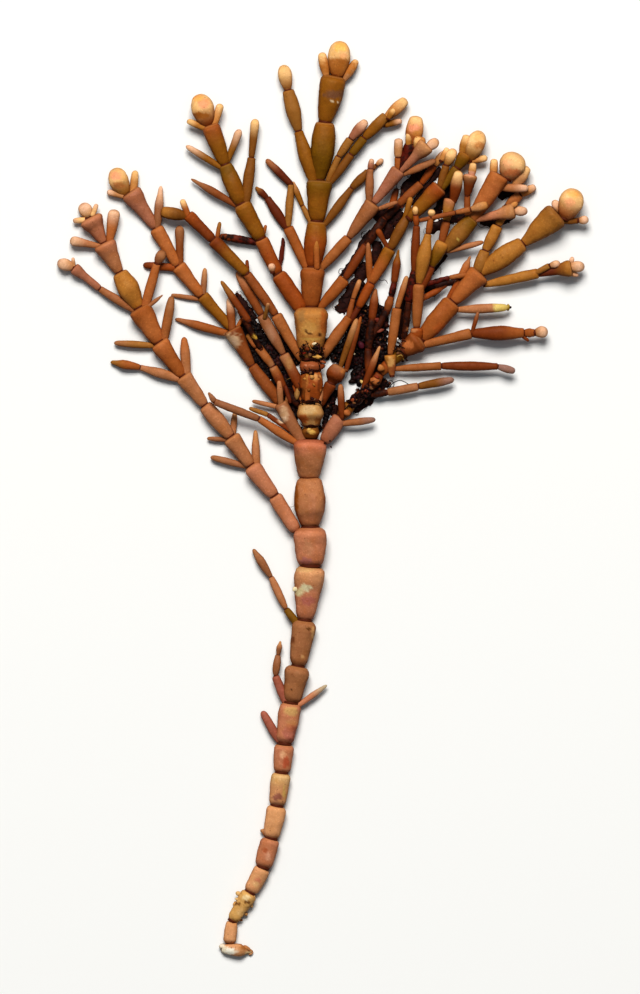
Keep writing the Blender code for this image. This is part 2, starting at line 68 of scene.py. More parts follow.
# mesh detail: steps in pixels, and counts of sides and steps
RING_STEP = 1.6
SIDE_STEP = 1.8
FEWEST_SIDES = 14
MOST_SIDES = 44
JOINT_SIDES = 14
FIBRE_SIDES = 5
FIBRE_STEPS = 4
FILM_SIDES = 12
FILM_STEPS = 6

# how far a segment is tucked into the one below, as a share of its lower width
TUCK = 0.1

# how far a cup reaches over the foot of the next segment, in pixels
CUP_OVERLAP = 0.35

# a tip wider than this share of its length is built as a bulb
STOUT_TIP = 0.52

# the section of a segment: the power that squares it, and the height of its underside
SQUARED = 0.94
UNDERSIDE = 0.96

# how far the upper side comes down towards the end of a cup, and of a barrel or dome
CUP_SLOPE = 0.24
BARREL_SLOPE = 0.12

JOINT_COLOUR = (58, 22, 8)

# Chains of segments. Each one has a name, its first joint (x, y), its height over the floor at
# its first and last joint, and one row for each segment: the joint at its upper end, its width
# low, in the middle and high, and its colour, with a second letter for the colour at its tip.
BRANCHES = {
    "main_stem": [
        ("stem", (229.5, 943), (0, 0), [(232, 921, 13, 13, 11.5, "a"), (250, 892.5, 13, 15, 17, "y"),
            (263, 867.5, 15, 16.5, 17, "a"), (271, 838.5, 18, 19, 19.5, "s"),
            (277, 806, 17, 19, 20, "a"), (281.5, 773, 17, 19, 19.5, "ac"),
            (284.5, 744, 17, 19, 20, "s"), (291, 703, 19, 20.5, 21.5, "s"),
            (298, 666.5, 19, 22, 25, "e"), (304.5, 620.5, 18, 22, 24.5, "e"),
            (310.5, 566.5, 20, 26, 31, "sa"), (310, 527.5, 27, 31, 33, "s"),
            (309, 477.5, 24, 31.5, 26, "n"), (310, 439.5, 21, 28.5, 33.5, "nI")]),
        ("crust", (222, 948.5), (0, 0), [(253, 951.5, 10, 12.5, 5, "ah")]),
        ("stem_spray", (298, 625), (5, 3), [(286, 609, 8, 8, 7, "g"), (271, 577, 5, 8, 6, "n"),
            (253, 549, 5, 8.5, 5, "Ne")]),
        ("stem_sprig", (287, 706), (4, 4), [(275.5, 676, 6, 9, 8, "J"), (278, 655, 5, 8, 6, "N"),
            (280.5, 641, 4, 6, 3, "Nh")]),
        ("stem_twig", (296, 707), (5, 4), [(327, 685, 5, 6, 4, "sG")]),
        ("stem_club", (282, 746), (3, 2), [(262, 711, 5, 9, 8, "J")]),
        ("stem_nub", (269, 838), (3, 3), [(262, 829, 5, 5, 4, "uh")]),
    ],
    "left_low_branch": [
        ("low", (296, 531), (5, 0), [(274.5, 496, 13, 14, 14.5, "s"), (251, 465.5, 13, 16, 18, "s"),
            (231, 437, 12, 15, 18, "n"), (205, 405.5, 12, 16, 15, "n"), (183, 376, 11, 14, 17, "n"),
            (159, 342.5, 12, 16, 20, "ut"), (139, 308, 15, 20, 24, "tu"),
            (119.5, 272.5, 15, 22, 17, "k"), (104, 243, 11, 17, 23, "ns"), (90, 217.5, 10, 17, 24, "s"),
            (81.5, 203.5, 9, 13.5, 11, "pP")]),
        ("low_nub_a", (92, 217), (6, 6), [(97, 204, 5, 5, 4.5, "pP")]),
        ("low_nub_b", (86, 220), (4, 4), [(73, 221, 6, 6, 5, "pP")]),
        ("low_r1", (256, 468), (3, 3), [(255.5, 430, 9, 8, 5, "nh")]),
        ("low_l1", (252, 468), (3, 3), [(210.5, 457, 4.5, 7, 6, "Ne")]),
        ("low_r2", (232, 440), (0, 0), [(235, 412, 6.5, 6.5, 5.5, "nh")]),
        ("low_l2", (229, 440), (3, 3), [(207, 438.5, 5, 5, 4, "Ne")]),
        ("low_r3", (187, 379), (3, 3), [(184, 337, 8, 10, 7, "nt")]),
        ("low_l3", (184, 380), (2, 2), [(140.5, 367.5, 8, 10, 6, "n"), (110.5, 362, 6, 9, 5, "ul")]),
        ("low_r4", (163, 345), (3, 8), [(172, 296, 8, 10, 8, "Te")]),
        ("low_l4", (158, 346), (3, 3), [(114, 343, 5, 7, 6, "le")]),
        ("low_r5", (144, 311), (4, 10), [(157, 264, 9, 10, 8, "t"), (164, 250.5, 9, 10.5, 9, "me")]),
        ("low_spine", (147, 308), (12, 12), [(163, 295, 4, 4, 2, "me")]),
        ("low_l5", (137, 312), (3, 3), [(100, 289, 6, 9, 7, "m"), (74, 268, 7, 8, 12, "v"),
            (57.5, 262, 9, 12, 9, "aP")]),
        ("low_l5_nub", (74, 268), (6, 6), [(73, 257.5, 4, 4, 3.5, "hP")]),
        ("low_r6", (109, 246), (4, 4), [(114.8, 209.5, 6, 11, 12.5, "tP")]),
        ("low_l6", (103, 247), (4, 4), [(70, 240.5, 4, 8, 10, "nP")]),
    ],
    "left_mid_branch": [
        ("mid", (304, 446), (4, 0), [(280, 403, 10, 13, 14.5, "N"), (252, 366, 10, 12.5, 11, "R"),
            (232, 329, 9, 14, 19, "Rw"), (202, 296, 9, 11, 13, "o"), (178, 266, 10, 13, 15.5, "t"),
            (156, 228, 11, 13, 14.5, "t"), (130, 192, 10, 15, 21, "v")]),
        ("mid_bulb", (126, 196), (0, 0), [(113.5, 168.5, 12, 20, 16, "kp")]),
        ("mid_tip_r", (133, 195), (3, 3), [(135.5, 170.5, 8, 8, 7, "qp")]),
        ("mid_tip_l", (125, 196), (3, 3), [(107, 192, 7, 7, 6, "hP")]),
        ("mid_r1", (281, 406), (8, 13), [(279, 380.5, 6, 6.5, 5, "en")]),
        ("mid_l1", (278, 407), (5, 5), [(252, 401, 5, 5, 4, "ne")]),
        ("mid_r3", (232.5, 332), (5, 3), [(229.5, 297.5, 8, 8.5, 7.5, "RP")]),
        ("mid_tiny", (234, 333), (6, 6), [(243, 317, 4, 4, 3, "u")]),
        ("mid_l3", (229, 334), (2, 0), [(175, 319, 7, 9, 5, "um")]),
        ("mid_r4", (203, 299), (3, 3), [(205, 268, 6, 6, 5, "Nh")]),
        ("mid_l4", (199, 299), (1, 0), [(171, 295, 5, 5, 4, "me")]),
        ("mid_r5", (180, 269), (3, 3), [(179.5, 225.5, 7, 8, 9.5, "Re")]),
        ("mid_l5", (177, 268), (1, 0), [(143, 265, 8, 8, 7, "rw")]),
        ("mid_r6", (157, 231), (3, 3), [(161, 186, 6, 9, 5, "NP")]),
        ("fork_spray", (301, 446), (7, 17), [(259, 419, 5, 9, 7, "t"), (215, 402, 7, 8, 7, "N"),
            (208.5, 392.5, 6, 5, 3, "Ne")]),
        ("fork_twig", (291, 431), (7, 9), [(268, 415, 5, 5, 5, "w"), (249, 408, 5, 5, 4, "l")]),
    ],
    "left_inner_branch": [
        ("inner", (302, 361), (5, 9), [(276, 315, 7, 11, 12, "T"), (247, 274, 8, 10, 9, "R"),
            (213, 240, 10, 12, 13, "ow"), (188, 215, 10, 11, 12, "wr")]),
        ("inner_bulb", (189, 217), (9, 7), [(160.5, 211.5, 6, 13, 11, "Ok")]),
        ("inner_tip", (189, 218), (10, 10), [(182, 199.5, 6.5, 6.5, 6, "up")]),
        ("inner_r3", (216, 244), (9, 9), [(220, 222, 4.5, 4.5, 4, "ul")]),
        ("inner_r2", (248, 278), (9, 9), [(247, 260, 4, 4, 3.5, "w")]),
    ],
    "left_high_branch": [
        ("high", (303, 311), (3, 6), [(278, 274, 15, 16.5, 16, "r"), (261, 239, 13, 14, 14.5, "ru"),
            (241.3, 204, 14, 17, 19, "o"), (225, 165, 15, 17.5, 14, "og"),
            (210, 125, 12, 17, 18, "ou")]),
        ("high_bulb", (208.5, 127), (6, 4), [(198, 94.5, 12, 22.5, 18, "up")]),
        ("high_tip_r", (213, 128), (8, 8), [(221, 104, 7, 8, 8, "qp")]),
        ("high_tip_l", (207, 129), (8, 8), [(187, 121, 7, 7, 6, "kp")]),
        ("high_nub", (272.5, 272.5), (10, 11.5), [(271.3, 263, 6, 7.5, 6, "hP")]),
        ("high_r5", (225, 168), (7, 7), [(240, 129.5, 4, 7, 8, "oP")]),
        ("high_l5", (225, 170), (7, 6), [(186, 146, 5, 7, 6, "oP")]),
        ("high_r4", (245, 208), (7, 6), [(251.5, 158, 8, 11, 8.5, "O"), (255.5, 119, 6, 8, 9, "Op")]),
        ("high_l4", (241, 208), (6, 5), [(191, 179, 5, 8, 4, "Re")]),
        ("high_r3", (261, 243), (7, 7), [(266, 225, 4, 4, 3.5, "u")]),
        ("high_l3", (260, 243), (3, 3), [(219, 236, 7, 8, 7, "xw")]),
    ],
    "main_axis": [
        ("axis", (310, 438.5), (2, 0), [(311, 426, 15, 18, 16, "O"), (310, 402.5, 20, 27, 24, "K"),
            (311, 372, 20, 23, 22, "r"), (310.5, 359.5, 21, 23, 21, "B"), (311, 307.5, 24, 31, 34, "f"),
            (313, 267.5, 18, 22, 24.5, "u"), (317, 221.5, 17, 22.5, 20, "ro"),
            (319.5, 180.5, 17, 22, 25.5, "og"), (325, 122.5, 13, 24, 21, "go"),
            (334, 76, 17, 24, 25.5, "o")]),
        ("axis_bulb", (337, 79), (2, 0), [(340.5, 41, 11, 22.5, 17.5, "up")]),
        ("axis_tip_l", (327, 79), (4, 4), [(321.5, 52.5, 6, 9.5, 8.5, "qp")]),
        ("axis_tip_r", (343, 82), (4, 4), [(357, 60, 5, 9, 7.5, "hp")]),
        ("axis_front", (317, 270), (13, 15), [(316, 236, 6, 6.5, 5, "uk")]),
        ("axis_sliver", (307.5, 402), (14, 15), [(307, 373.5, 6, 6.5, 5, "uk")]),
        ("axis_lump", (316, 400), (9, 10), [(317, 371, 9, 13, 10, "ru")]),
        ("axis_peg_r", (318, 407), (8, 10), [(322, 386, 7, 6.5, 4, "ne")]),
        ("axis_peg_l", (302, 404), (7, 8), [(298, 381.5, 4, 4, 3, "uo")]),
        ("axis_peg_m", (303, 407), (4, 3), [(293.5, 383.5, 5, 5.5, 5, "Rr")]),
        ("axis_crumb", (318, 369), (12, 12), [(325, 365, 4, 5, 4, "w")]),
        ("c", (305, 396), (3, 0), [(283.5, 354.5, 10, 11, 11, "we"), (261.5, 315, 7, 12, 11, "N"),
            (237, 271.5, 8, 10, 8, "Rn")]),
        ("c_nub", (264, 320), (7, 20), [(268.5, 303, 4, 4, 4, "lh")]),
        ("e", (300, 406), (2, 0), [(284, 389.5, 8, 9, 9, "d"), (273, 367, 9, 10, 9, "wT"),
            (258, 347, 7, 9, 9, "T"), (247.5, 333.5, 9, 9, 8, "tl")]),
        ("e_peg", (290, 402), (7, 7), [(285, 385, 4, 4.5, 4, "X")]),
        ("f_low", (261, 349), (5, 11), [(238, 309, 5, 6, 5, "dw")]),
        ("f_high", (249, 321), (10, 10), [(221, 281, 7, 7.5, 5, "wl")]),
        ("thin", (314, 184), (3, 2), [(298.5, 131.5, 9, 14.5, 9.5, "o"), (288, 90.5, 9, 15, 12, "l"),
            (283, 65, 9.5, 14.5, 11.5, "qp")]),
        ("pair_a", (327, 183), (4, 5), [(338.5, 157, 5, 7, 7, "l"), (350.5, 139.5, 7, 9, 9, "l"),
            (366.5, 120.5, 8, 11, 8, "vP")]),
        ("pair_b", (330, 184), (5, 6), [(351, 155, 5, 8.5, 8.5, "O"), (364, 138.5, 8, 9, 9, "g"),
            (386, 116, 8, 11.5, 10, "ol")]),
        ("pair_b_bulb", (385, 119), (6, 5), [(406.5, 99.5, 7, 12, 10, "qp")]),
        ("pair_b_nub", (388, 119), (11, 12), [(394.5, 109, 5, 6.5, 5, "kp")]),
        ("pair_b_tip", (384, 125), (5, 4), [(402, 121, 7, 7, 6, "oP")]),
        ("arm", (324, 226), (5, 0), [(351.5, 188.5, 5, 9.5, 7, "O"), (368, 171.5, 7, 9, 7, "O"),
            (376, 165.5, 5, 5.5, 4.5, "bl"), (383, 159, 5, 5.5, 5, "qP")]),
        ("arm_left", (313, 226), (4, 1), [(302.5, 206, 5, 6, 5, "l"), (292.5, 181.5, 5, 6, 4, "oh")]),
        ("fern", (309, 272), (3, 2), [(288, 227.5, 8, 10.5, 11, "u"), (291, 184.5, 6, 8, 6.5, "l"),
            (266, 159.5, 6.5, 8, 6.5, "Xm")]),
        ("fern_left", (290, 233), (1, 0), [(267, 198, 6, 10, 7.5, "X"), (255.5, 187, 6, 7, 3.5, "Xl")]),
        ("knob", (319, 408), (4, 8), [(331, 383.5, 6, 10, 12, "w"), (340, 366, 12, 19, 17, "wN")]),
        ("knob_blade", (339, 371), (11, 15), [(357, 318.5, 4, 7, 6, "Oh")]),
        ("knob_spike", (346, 371), (10, 15), [(361, 316.5, 5, 6, 4, "wu")]),
    ],
    "right_high_branch": [
        ("rose", (320, 270), (4, 12), [(348.5, 238, 7, 11, 10.5, "T"), (373.5, 203.5, 8, 14, 17, "m"),
            (399, 170, 8, 12, 15, "v")]),
        ("rose_top", (399, 173), (10, 9), [(412, 144, 9, 12, 14, "x")]),
        ("rose_bulb", (412, 149), (8, 6), [(416.5, 116, 10, 17.8, 14.5, "tp")]),
        ("rose_nub_l", (408.5, 150), (14, 15), [(408.5, 133, 6, 6.8, 6, "kp")]),
        ("rose_nub_m", (416, 150), (16, 17), [(419, 136, 7, 9, 7.5, "kp")]),
        ("rose_fan", (399, 173), (12, 15), [(427, 145, 6, 10, 18, "vh")]),
        ("rose_fan_bulb", (426, 150), (16, 15), [(438, 140, 8, 10.5, 8.5, "PP")]),
        ("rose_fan_nub", (423, 147), (17, 18), [(421.5, 137, 7, 7, 6, "q")]),
        ("rose_blade", (401, 176), (12, 11), [(436, 160.5, 3, 7.5, 6.5, "me")]),
        ("rose_l2", (369, 206), (10, 11), [(370, 169.5, 5, 9, 7, "m"), (372, 159, 6, 5.8, 5, "vP")]),
        ("rose_l3", (397.5, 173), (12, 12), [(398, 158, 6, 7, 7, "u"),
            (398.5, 138.5, 7.5, 9, 8.5, "hP")]),
        ("rose_r2", (376, 210), (12, 13), [(398, 202, 3.5, 5, 4, "m")]),
    ],
    "right_inner_branch": [
        ("dusk", (319, 309), (3, 0), [(345, 279, 8, 12, 13, "u"), (365.5, 245.5, 7, 9.5, 8, "w"),
            (384, 219, 8, 10, 9, "d"), (398, 205, 8, 9, 8, "d"), (421, 184, 8, 9.5, 9, "R"),
            (434, 166, 6, 8, 7.5, "r"), (445, 152, 7, 8.5, 7, "qP")]),
        ("dusk_tip", (441, 161), (3, 3), [(448, 148, 6, 7, 6, "qp")]),
        ("dusk_peg", (390, 213), (2, 2), [(397, 188, 6, 7, 6, "rd")]),
        ("dusk_peg_b", (402, 207), (2, 2), [(402.5, 189, 4, 5, 4, "xd")]),
    ],
    "right_mid_branch": [
        ("reach", (321, 358), (3, 4), [(349, 317.5, 9, 12, 9, "Tu")]),
        ("reach_main", (349, 324), (4, 6), [(358.5, 307.5, 5, 6.5, 6.5, "X"),
            (371, 283.5, 8, 10, 10, "r"), (390, 249, 9, 12.5, 13, "uo"),
            (408, 215, 9, 11.5, 8.5, "O")]),
        ("reach_top", (409, 219), (7.6, 8), [(440, 187, 11, 15, 17.5, "or")]),
        ("reach_l1", (347, 322), (4, 5), [(353, 299, 5, 6, 5, "R"), (360, 279.5, 5, 5.8, 5, "Th")]),
        ("reach_l2", (370, 287), (5, 11), [(368, 242.5, 5, 7, 5, "um")]),
        ("reach_l3", (390.5, 253), (7, 10), [(377, 229, 4, 5, 6.5, "wr")]),
        ("reach_up", (403.5, 224), (7, 9.5), [(411, 197, 5.5, 6, 6, "ok")]),
        ("reach_s1", (439, 190), (9, 9), [(446, 166, 6, 8, 8, "O"), (454.5, 149, 8, 11, 9.5, "kp")]),
        ("reach_s2", (441, 190), (8, 8), [(457, 168.5, 7, 9, 10, "g"), (466, 153.5, 10, 13, 14, "go")]),
        ("reach_bulb", (469, 161), (8, 6), [(480.5, 131, 10, 19, 16, "lp")]),
        ("reach_bulb_l", (461.5, 156), (9, 9), [(467.5, 135, 7, 10.5, 9, "kp")]),
        ("reach_tip_r", (465, 162), (9, 8), [(487.5, 158, 6, 7, 6.5, "qp")]),
    ],
    "right_low_branch": [
        ("arch", (324, 442), (3, 6), [(340, 417, 13, 16, 15, "v"), (351, 404.5, 11, 13, 12, "Oo"),
            (362, 394, 10, 13, 12, "dw"), (371, 386.5, 10, 12, 12, "d"), (380, 374, 11, 12, 10, "w"),
            (389, 364, 9, 11, 12, "ur"), (403, 351.5, 10, 12, 14, "gd"), (421, 339, 16, 20, 23, "R"),
            (453, 302, 16, 20, 20, "u"), (480, 273, 13, 18, 22.5, "t"), (523, 243.5, 12, 20.5, 16, "k"),
            (558, 214, 11, 22, 27, "kl")]),
        ("arch_bulb", (564, 219), (8, 7), [(576, 189.3, 13, 25, 20, "tp")]),
        ("arch_nub", (561, 213), (8, 8), [(553, 200.5, 8, 9, 7.5, "qP")]),
        ("arch_tip", (562, 221), (9, 9), [(578, 221, 6, 7, 6, "O"), (588.5, 219.5, 7, 8.8, 7, "hP")]),
        ("arch_r1", (340, 424), (8, 9), [(375.5, 419.5, 5, 7.5, 6, "mz")]),
        ("arch_l1", (342, 419), (10, 13), [(340.5, 384, 5, 7.3, 6, "wn")]),
        ("arch_r4", (372, 395), (6, 8), [(387, 392.5, 6, 7, 7, "d"), (418, 386.5, 8, 8.8, 8, "e"),
            (454, 379.5, 7, 8.6, 7, "Oz")]),
        ("arch_l4", (363, 389), (8, 14), [(380, 346, 5, 7.5, 4, "wh")]),
        ("arch_r6", (394, 369), (7, 9), [(441, 366, 5, 8, 8, "T"), (497.5, 366.5, 7, 9.5, 7, "w"),
            (515, 371.5, 6, 8, 6.5, "z")]),
        ("v1", (392, 376), (7, 14), [(390, 355, 6, 10, 12, "Tk"), (397, 308.5, 6, 10, 10, "T"),
            (407, 276, 6, 6.5, 5.5, "Th")]),
        ("v2", (417, 342), (8, 22), [(416.5, 328, 11, 13, 13, "r"), (418.5, 284.5, 8, 11, 12, "T"),
            (428, 234.5, 8, 14.5, 7.5, "k"), (431, 217.5, 6, 6.8, 6, "u"),
            (431.7, 209.5, 7, 7.8, 6.5, "qp")]),
        ("v1b", (404, 340), (8, 22), [(408.5, 303, 6, 7, 7, "d"), (414, 272, 8, 9, 8, "x"),
            (416.5, 226.5, 6, 9, 7, "w"), (415.5, 216, 5.5, 6.5, 6, "r"),
            (415, 206.5, 6, 6.3, 5, "qp")]),
        ("mire", (371, 388), (4, 3), [(368, 350, 8, 9, 8, "wd"), (372, 320, 8, 9, 8, "d"),
            (375.5, 288.5, 8, 9, 5, "wm")]),
        ("mire_b", (370, 340), (3, 4), [(387, 311, 7, 8, 8, "d"), (391, 297, 8, 9, 7, "R"),
            (394, 283, 6, 7, 6, "x"), (398.5, 249.5, 7, 8.3, 3, "wo")]),
        ("v2_r2", (420, 286), (13, 14), [(449, 278, 4, 5.5, 5, "x"), (471, 274, 4.5, 5.5, 4, "Tu")]),
        ("v2_r1", (418, 301), (8, 7), [(447.5, 285.5, 6, 6.5, 3, "rw")]),
        ("w", (420, 290), (12, 10), [(431, 267, 8, 10, 9, "w"), (443, 242, 9, 13, 14, "gk")]),
        ("w_main", (444, 251), (9, 9), [(473, 219, 10, 18, 15, "lg")]),
        ("w_top", (471, 221), (9, 10), [(500, 175, 11, 18, 21, "t")]),
        ("w_bulb", (506, 179), (9, 6), [(517, 153, 14, 26, 21, "ap")]),
        ("w_bulb_l", (493, 178), (10, 10), [(494, 159, 7, 8.3, 7.5, "qp")]),
        ("w_bulb_r", (514, 188), (9, 7), [(527.5, 166.5, 9, 12.5, 10.5, "hp")]),
        ("w_tip_r", (499, 188), (12, 12), [(528.5, 188.5, 6, 8.8, 7.5, "nP")]),
        ("w_l1", (441, 246), (10, 11), [(446, 222, 6, 8.7, 9, "R"), (450, 199, 8, 11, 12, "kn")]),
        ("w_l1_bulb", (452.5, 204), (13, 18), [(459, 171, 7, 12, 10, "wp")]),
        ("w_r1", (446, 252), (10, 11), [(483.5, 242, 4, 6, 5, "n")]),
        ("w_fan", (470, 221), (11, 12), [(514.5, 211, 5, 9, 15.5, "sh")]),
        ("w_fan_bulb", (511, 211), (13, 12), [(527.5, 211.5, 7, 9.8, 8.5, "hP")]),
        ("w_fan_nub", (509, 208), (16, 17), [(517.5, 203, 5, 6, 5, "hq")]),
        ("t", (467, 217), (10, 14), [(467, 196, 5, 6.5, 6, "R"), (470.5, 174, 7, 11, 14.8, "wh")]),
        ("t_tip", (471, 179), (15, 17), [(473.3, 163, 6, 8.3, 7, "qp")]),
        ("reed", (419, 221), (22, 22), [(455, 213, 4, 5, 5, "R"), (470, 210, 5, 6, 6, "T"),
            (488, 204.8, 6, 9.3, 8, "hq")]),
        ("sickle", (477, 273), (6, 2), [(485, 251, 12, 13, 11, "l"), (497.5, 226, 9, 12, 12, "k"),
            (507, 207, 8, 9, 9, "k"), (520, 195, 9, 10.5, 9.5, "T"), (535.5, 186.3, 7, 8.5, 7, "qP")]),
        ("spray", (484, 285), (7, 8), [(538, 273.5, 6, 10.3, 10.5, "k")]),
        ("spray_fan", (535, 275), (8, 9), [(571.5, 268, 5, 9, 17, "Xk")]),
        ("spray_bulb", (567, 267.5), (10, 9), [(584.5, 266.5, 8, 11.5, 9.5, "hP")]),
        ("spray_nub", (568, 272), (9, 9), [(578.5, 276, 4, 5.5, 4, "aP")]),
        ("spray_lip", (570, 265), (12, 12), [(572.5, 257, 5, 5, 3, "hP")]),
        ("spray_up", (534, 274), (12, 13), [(549, 266, 5, 6, 6, "l"), (560, 263, 6, 7.3, 6, "hP")]),
        ("arch_l9", (447, 301), (6, 7), [(460, 280, 5, 6.5, 7, "r"), (470.5, 256, 8, 8, 3, "te")]),
        ("arch_r9", (454, 310), (8, 9), [(508.5, 307.5, 5, 9.7, 8, "n")]),
        ("arch_r8", (422, 345), (8, 9), [(471, 333.5, 8, 9.8, 11, "T"), (524, 333, 9, 14.8, 9.5, "wu"),
            (534.5, 333, 8, 9.3, 8, "u"), (547.8, 331.5, 9, 11.8, 9.5, "hP")]),
        ("arch_r8_nub", (521, 335), (10, 10), [(528.8, 341.3, 3.5, 3.8, 3, "w")]),
        ("arch_spine", (471, 336), (12, 13), [(478.7, 309.5, 3, 4.5, 3, "wm")]),
    ],
}

# Pigments of the lime, as red, green and blue of 255. The darkest, d and x, are partly dirt on the
# segments and partly painted shade from the twigs above them.
PIGMENTS = {
    "a": (206, 150, 104), "b": (178, 98, 60), "c": (212, 172, 118), "d": (66, 26, 6),
    "e": (158, 106, 68), "f": (182, 126, 66), "g": (118, 80, 10), "h": (188, 134, 88),
    "k": (170, 114, 48), "l": (152, 102, 44), "m": (156, 100, 62), "n": (174, 116, 76),
    "o": (140, 88, 20), "p": (230, 184, 126), "P": (222, 176, 142), "q": (192, 132, 72),
    "r": (148, 74, 24), "s": (186, 122, 88), "t": (174, 104, 54), "u": (156, 88, 38),
    "v": (164, 106, 78), "w": (122, 58, 18), "x": (90, 24, 8), "y": (204, 158, 94), "z": (150, 112, 98),
    "B": (154, 86, 50), "N": (150, 98, 64), "O": (126, 78, 26), "R": (138, 76, 34), "T": (158, 96, 50),
    "X": (100, 42, 14), "G": (178, 160, 130), "I": (200, 122, 90), "J": (158, 92, 72),
    "K": (186, 140, 86),
}


def linear(colour):
    """A colour of 255 as the light that it gives back."""
    parts = [value / 255 for value in colour]
    return [v / 12.92 if v <= 0.04045 else ((v + 0.055) / 1.055) ** 2.4 for v in parts]


def to_world(x, y, height):
    """A point of the photo and a height, both in pixels, as metres."""
    return ((x - PLAN_CENTRE[0]) * PIXEL, (PLAN_CENTRE[1] - y) * PIXEL, height * PIXEL)


def clear_scene():
    """Take out what a new file holds."""
    for item in list(bpy.data.objects):
        bpy.data.objects.remove(item, do_unlink=True)


# meshes


def smooth_curve(marks, values, wanted):
    """A curve through the marks that never swings past them."""
    marks, values = np.array(marks, float), np.array(values, float)
    steps = np.diff(marks)
    slopes = np.diff(values) / steps
    turns = np.zeros(len(marks))
    for i in range(1, len(marks) - 1):
        a, b = slopes[i - 1], slopes[i]
        if a * b > 0:
            turns[i] = 2 * a * b / (a + b)
    turns[0], turns[-1] = slopes[0], slopes[-1]
    spot = np.clip(np.searchsorted(marks, wanted) - 1, 0, len(steps) - 1)
    h = steps[spot]
    t = (wanted - marks[spot]) / h
    return ((1 + 2 * t) * (1 - t) ** 2 * values[spot] + t * (1 - t) ** 2 * h * turns[spot]
            + t * t * (3 - 2 * t) * values[spot + 1] + t * t * (t - 1) * h * turns[spot + 1])


def around(sides):
    """Evenly spread angles of a full turn."""
    return 2 * math.pi * np.arange(sides) / sides


def curve_line(path, steps):
    """Points of a smooth curve, the way ahead in the plan at each, and its share of the whole."""
    path = np.array(path, float)
    marks = np.arange(len(path))
    wanted = np.linspace(0, len(path) - 1, steps * (len(path) - 1) + 1)
    line = np.stack([smooth_curve(marks, path[:, i], wanted) for i in range(3)], axis=-1)
    ahead = np.gradient(line[:, :2], axis=0)
    ahead /= np.maximum(np.hypot(ahead[:, 0], ahead[:, 1]), 1e-6)[:, None]
    return line, ahead, wanted / wanted[-1]


def tube_points(line, ahead, wide, tall, sides):
    """Rings around a line, that reach wide to each side and tall up and down, and its two ends."""
    angle = around(sides)
    x = line[:, :1] - ahead[:, 1:] * wide * np.cos(angle)
    y = line[:, 1:2] + ahead[:, :1] * wide * np.cos(angle)
    z = line[:, 2:] + tall * np.sin(angle)
    return np.concatenate([np.stack([x, y, z], axis=-1).reshape(-1, 3), line[:1], line[-1:]])


def grounded(points):
    """The points, with those below the floor lifted onto it."""
    points[:, 2] = np.maximum(points[:, 2], 0.0)
    return points


def pick(dice, colours):
    """One of some colours by chance."""
    return colours[int(dice.integers(len(colours)))]


def segment_profile(length, row, kind):
    """Marks along a segment and its widths. Kinds: cup, barrel, dome, tip and bulb."""
    low, middle, high = row[2:5]
    foot = min(0.55 * low, (0.22 if kind == "barrel" else 0.28) * length)
    if kind == "bulb":
        marks, widths = [0, 0.02 * length], [0.02, 0.4 * low]
        for share in (0.93, 0.85, 0.74, 0.6, 0.45, 0.25):
            marks.append(0.56 * (1 - share) * length)
            full = middle * (1 - share ** 2.2) ** (1 / 2.2)
            widths.append(max(full * (1 - 0.24 * share), 0.6 * low))
        marks.append(0.56 * length)
        widths.append(middle)
        for share in (0.4, 0.64, 0.8, 0.9, 0.96, 1.0):
            marks.append((0.56 + 0.44 * share) * length)
            widths.append(middle * (1 - share ** 2.15) ** (1 / 2.15) + 0.02)
        return marks, widths
    marks = [0, 0.1 * foot, 0.4 * foot, foot, 0.56 * length]
    widths = [0.02, 0.45 * low, 0.8 * low, 1.0 * low, middle]
    if kind == "barrel":
        widths[1:3] = [0.38 * low, 0.72 * low]
        early = 0.5 * foot + 0.28 * length
        share = 0.8 if middle >= high else (early - foot) / (0.56 * length - foot)
        marks.insert(4, early)
        widths.insert(4, low + share * (middle - low))
    if kind == "dome":
        shares = (0, 0.02, 0.06, 0.18, 0.45, 0.66, 0.82, 0.9, 0.95, 0.98, 1)
        marks = [share * length for share in shares]
        widths = [0.02, 0.72 * low, 0.9 * low, 1.08 * low, middle, 0.955 * high, high,
                  0.93 * high, 0.8 * high, 0.68 * high, 0.5 * high]
    elif kind == "tip":
        marks += [0.857 * length, 0.93 * length, 0.975 * length, length]
        widths += [high, 0.86 * high, 0.58 * high, 0.02]
    elif kind == "barrel":
        brow = min(0.8 + 0.24 * high, 0.3 * length)
        marks += [length - brow, length - 0.5 * brow, length - 0.2 * brow, length - 0.05 * brow, length]
        widths += [high, 0.92 * high, 0.76 * high, 0.62 * high, 0.42 * high]
    else:
        brow = min(1.0 + 0.22 * high, 0.26 * length)
        if high > 1.15 * middle:
            brow = 0.6 * brow
        full = 0.12 * min(max((12 - high) / 5, -1), 1)
        marks += [length - brow, length - 0.5 * brow, length - 0.2 * brow, length - 0.05 * brow, length]
        widths += [high, (0.96 + 0.3 * full) * high, (0.87 + 0.6 * full) * high,
                   (0.76 + full) * high, (0.56 + full) * high]
    return marks, widths


class Shell:
    """Vertices, faces and paint of one mesh."""

    def __init__(self):
        self.points = []
        self.faces = []
        self.pigment = []
        self.wear_and_painted_light = []
        self.count = 0

    def add(self, points, sides, pigment, wear_and_painted_light=(0.0, 0.0, 0.0)):
        """Add a closed tube: its rings of so many sides, and then a point for each end."""
        faces = tube_faces((len(points) - 2) // sides, sides)
        self.points.append(points)
        self.faces.append(faces + self.count)
        self.pigment.append(np.broadcast_to(pigment, (len(points), 3)))
        self.wear_and_painted_light.append(np.broadcast_to(wear_and_painted_light, (len(points), 3)))
        self.count += len(points)


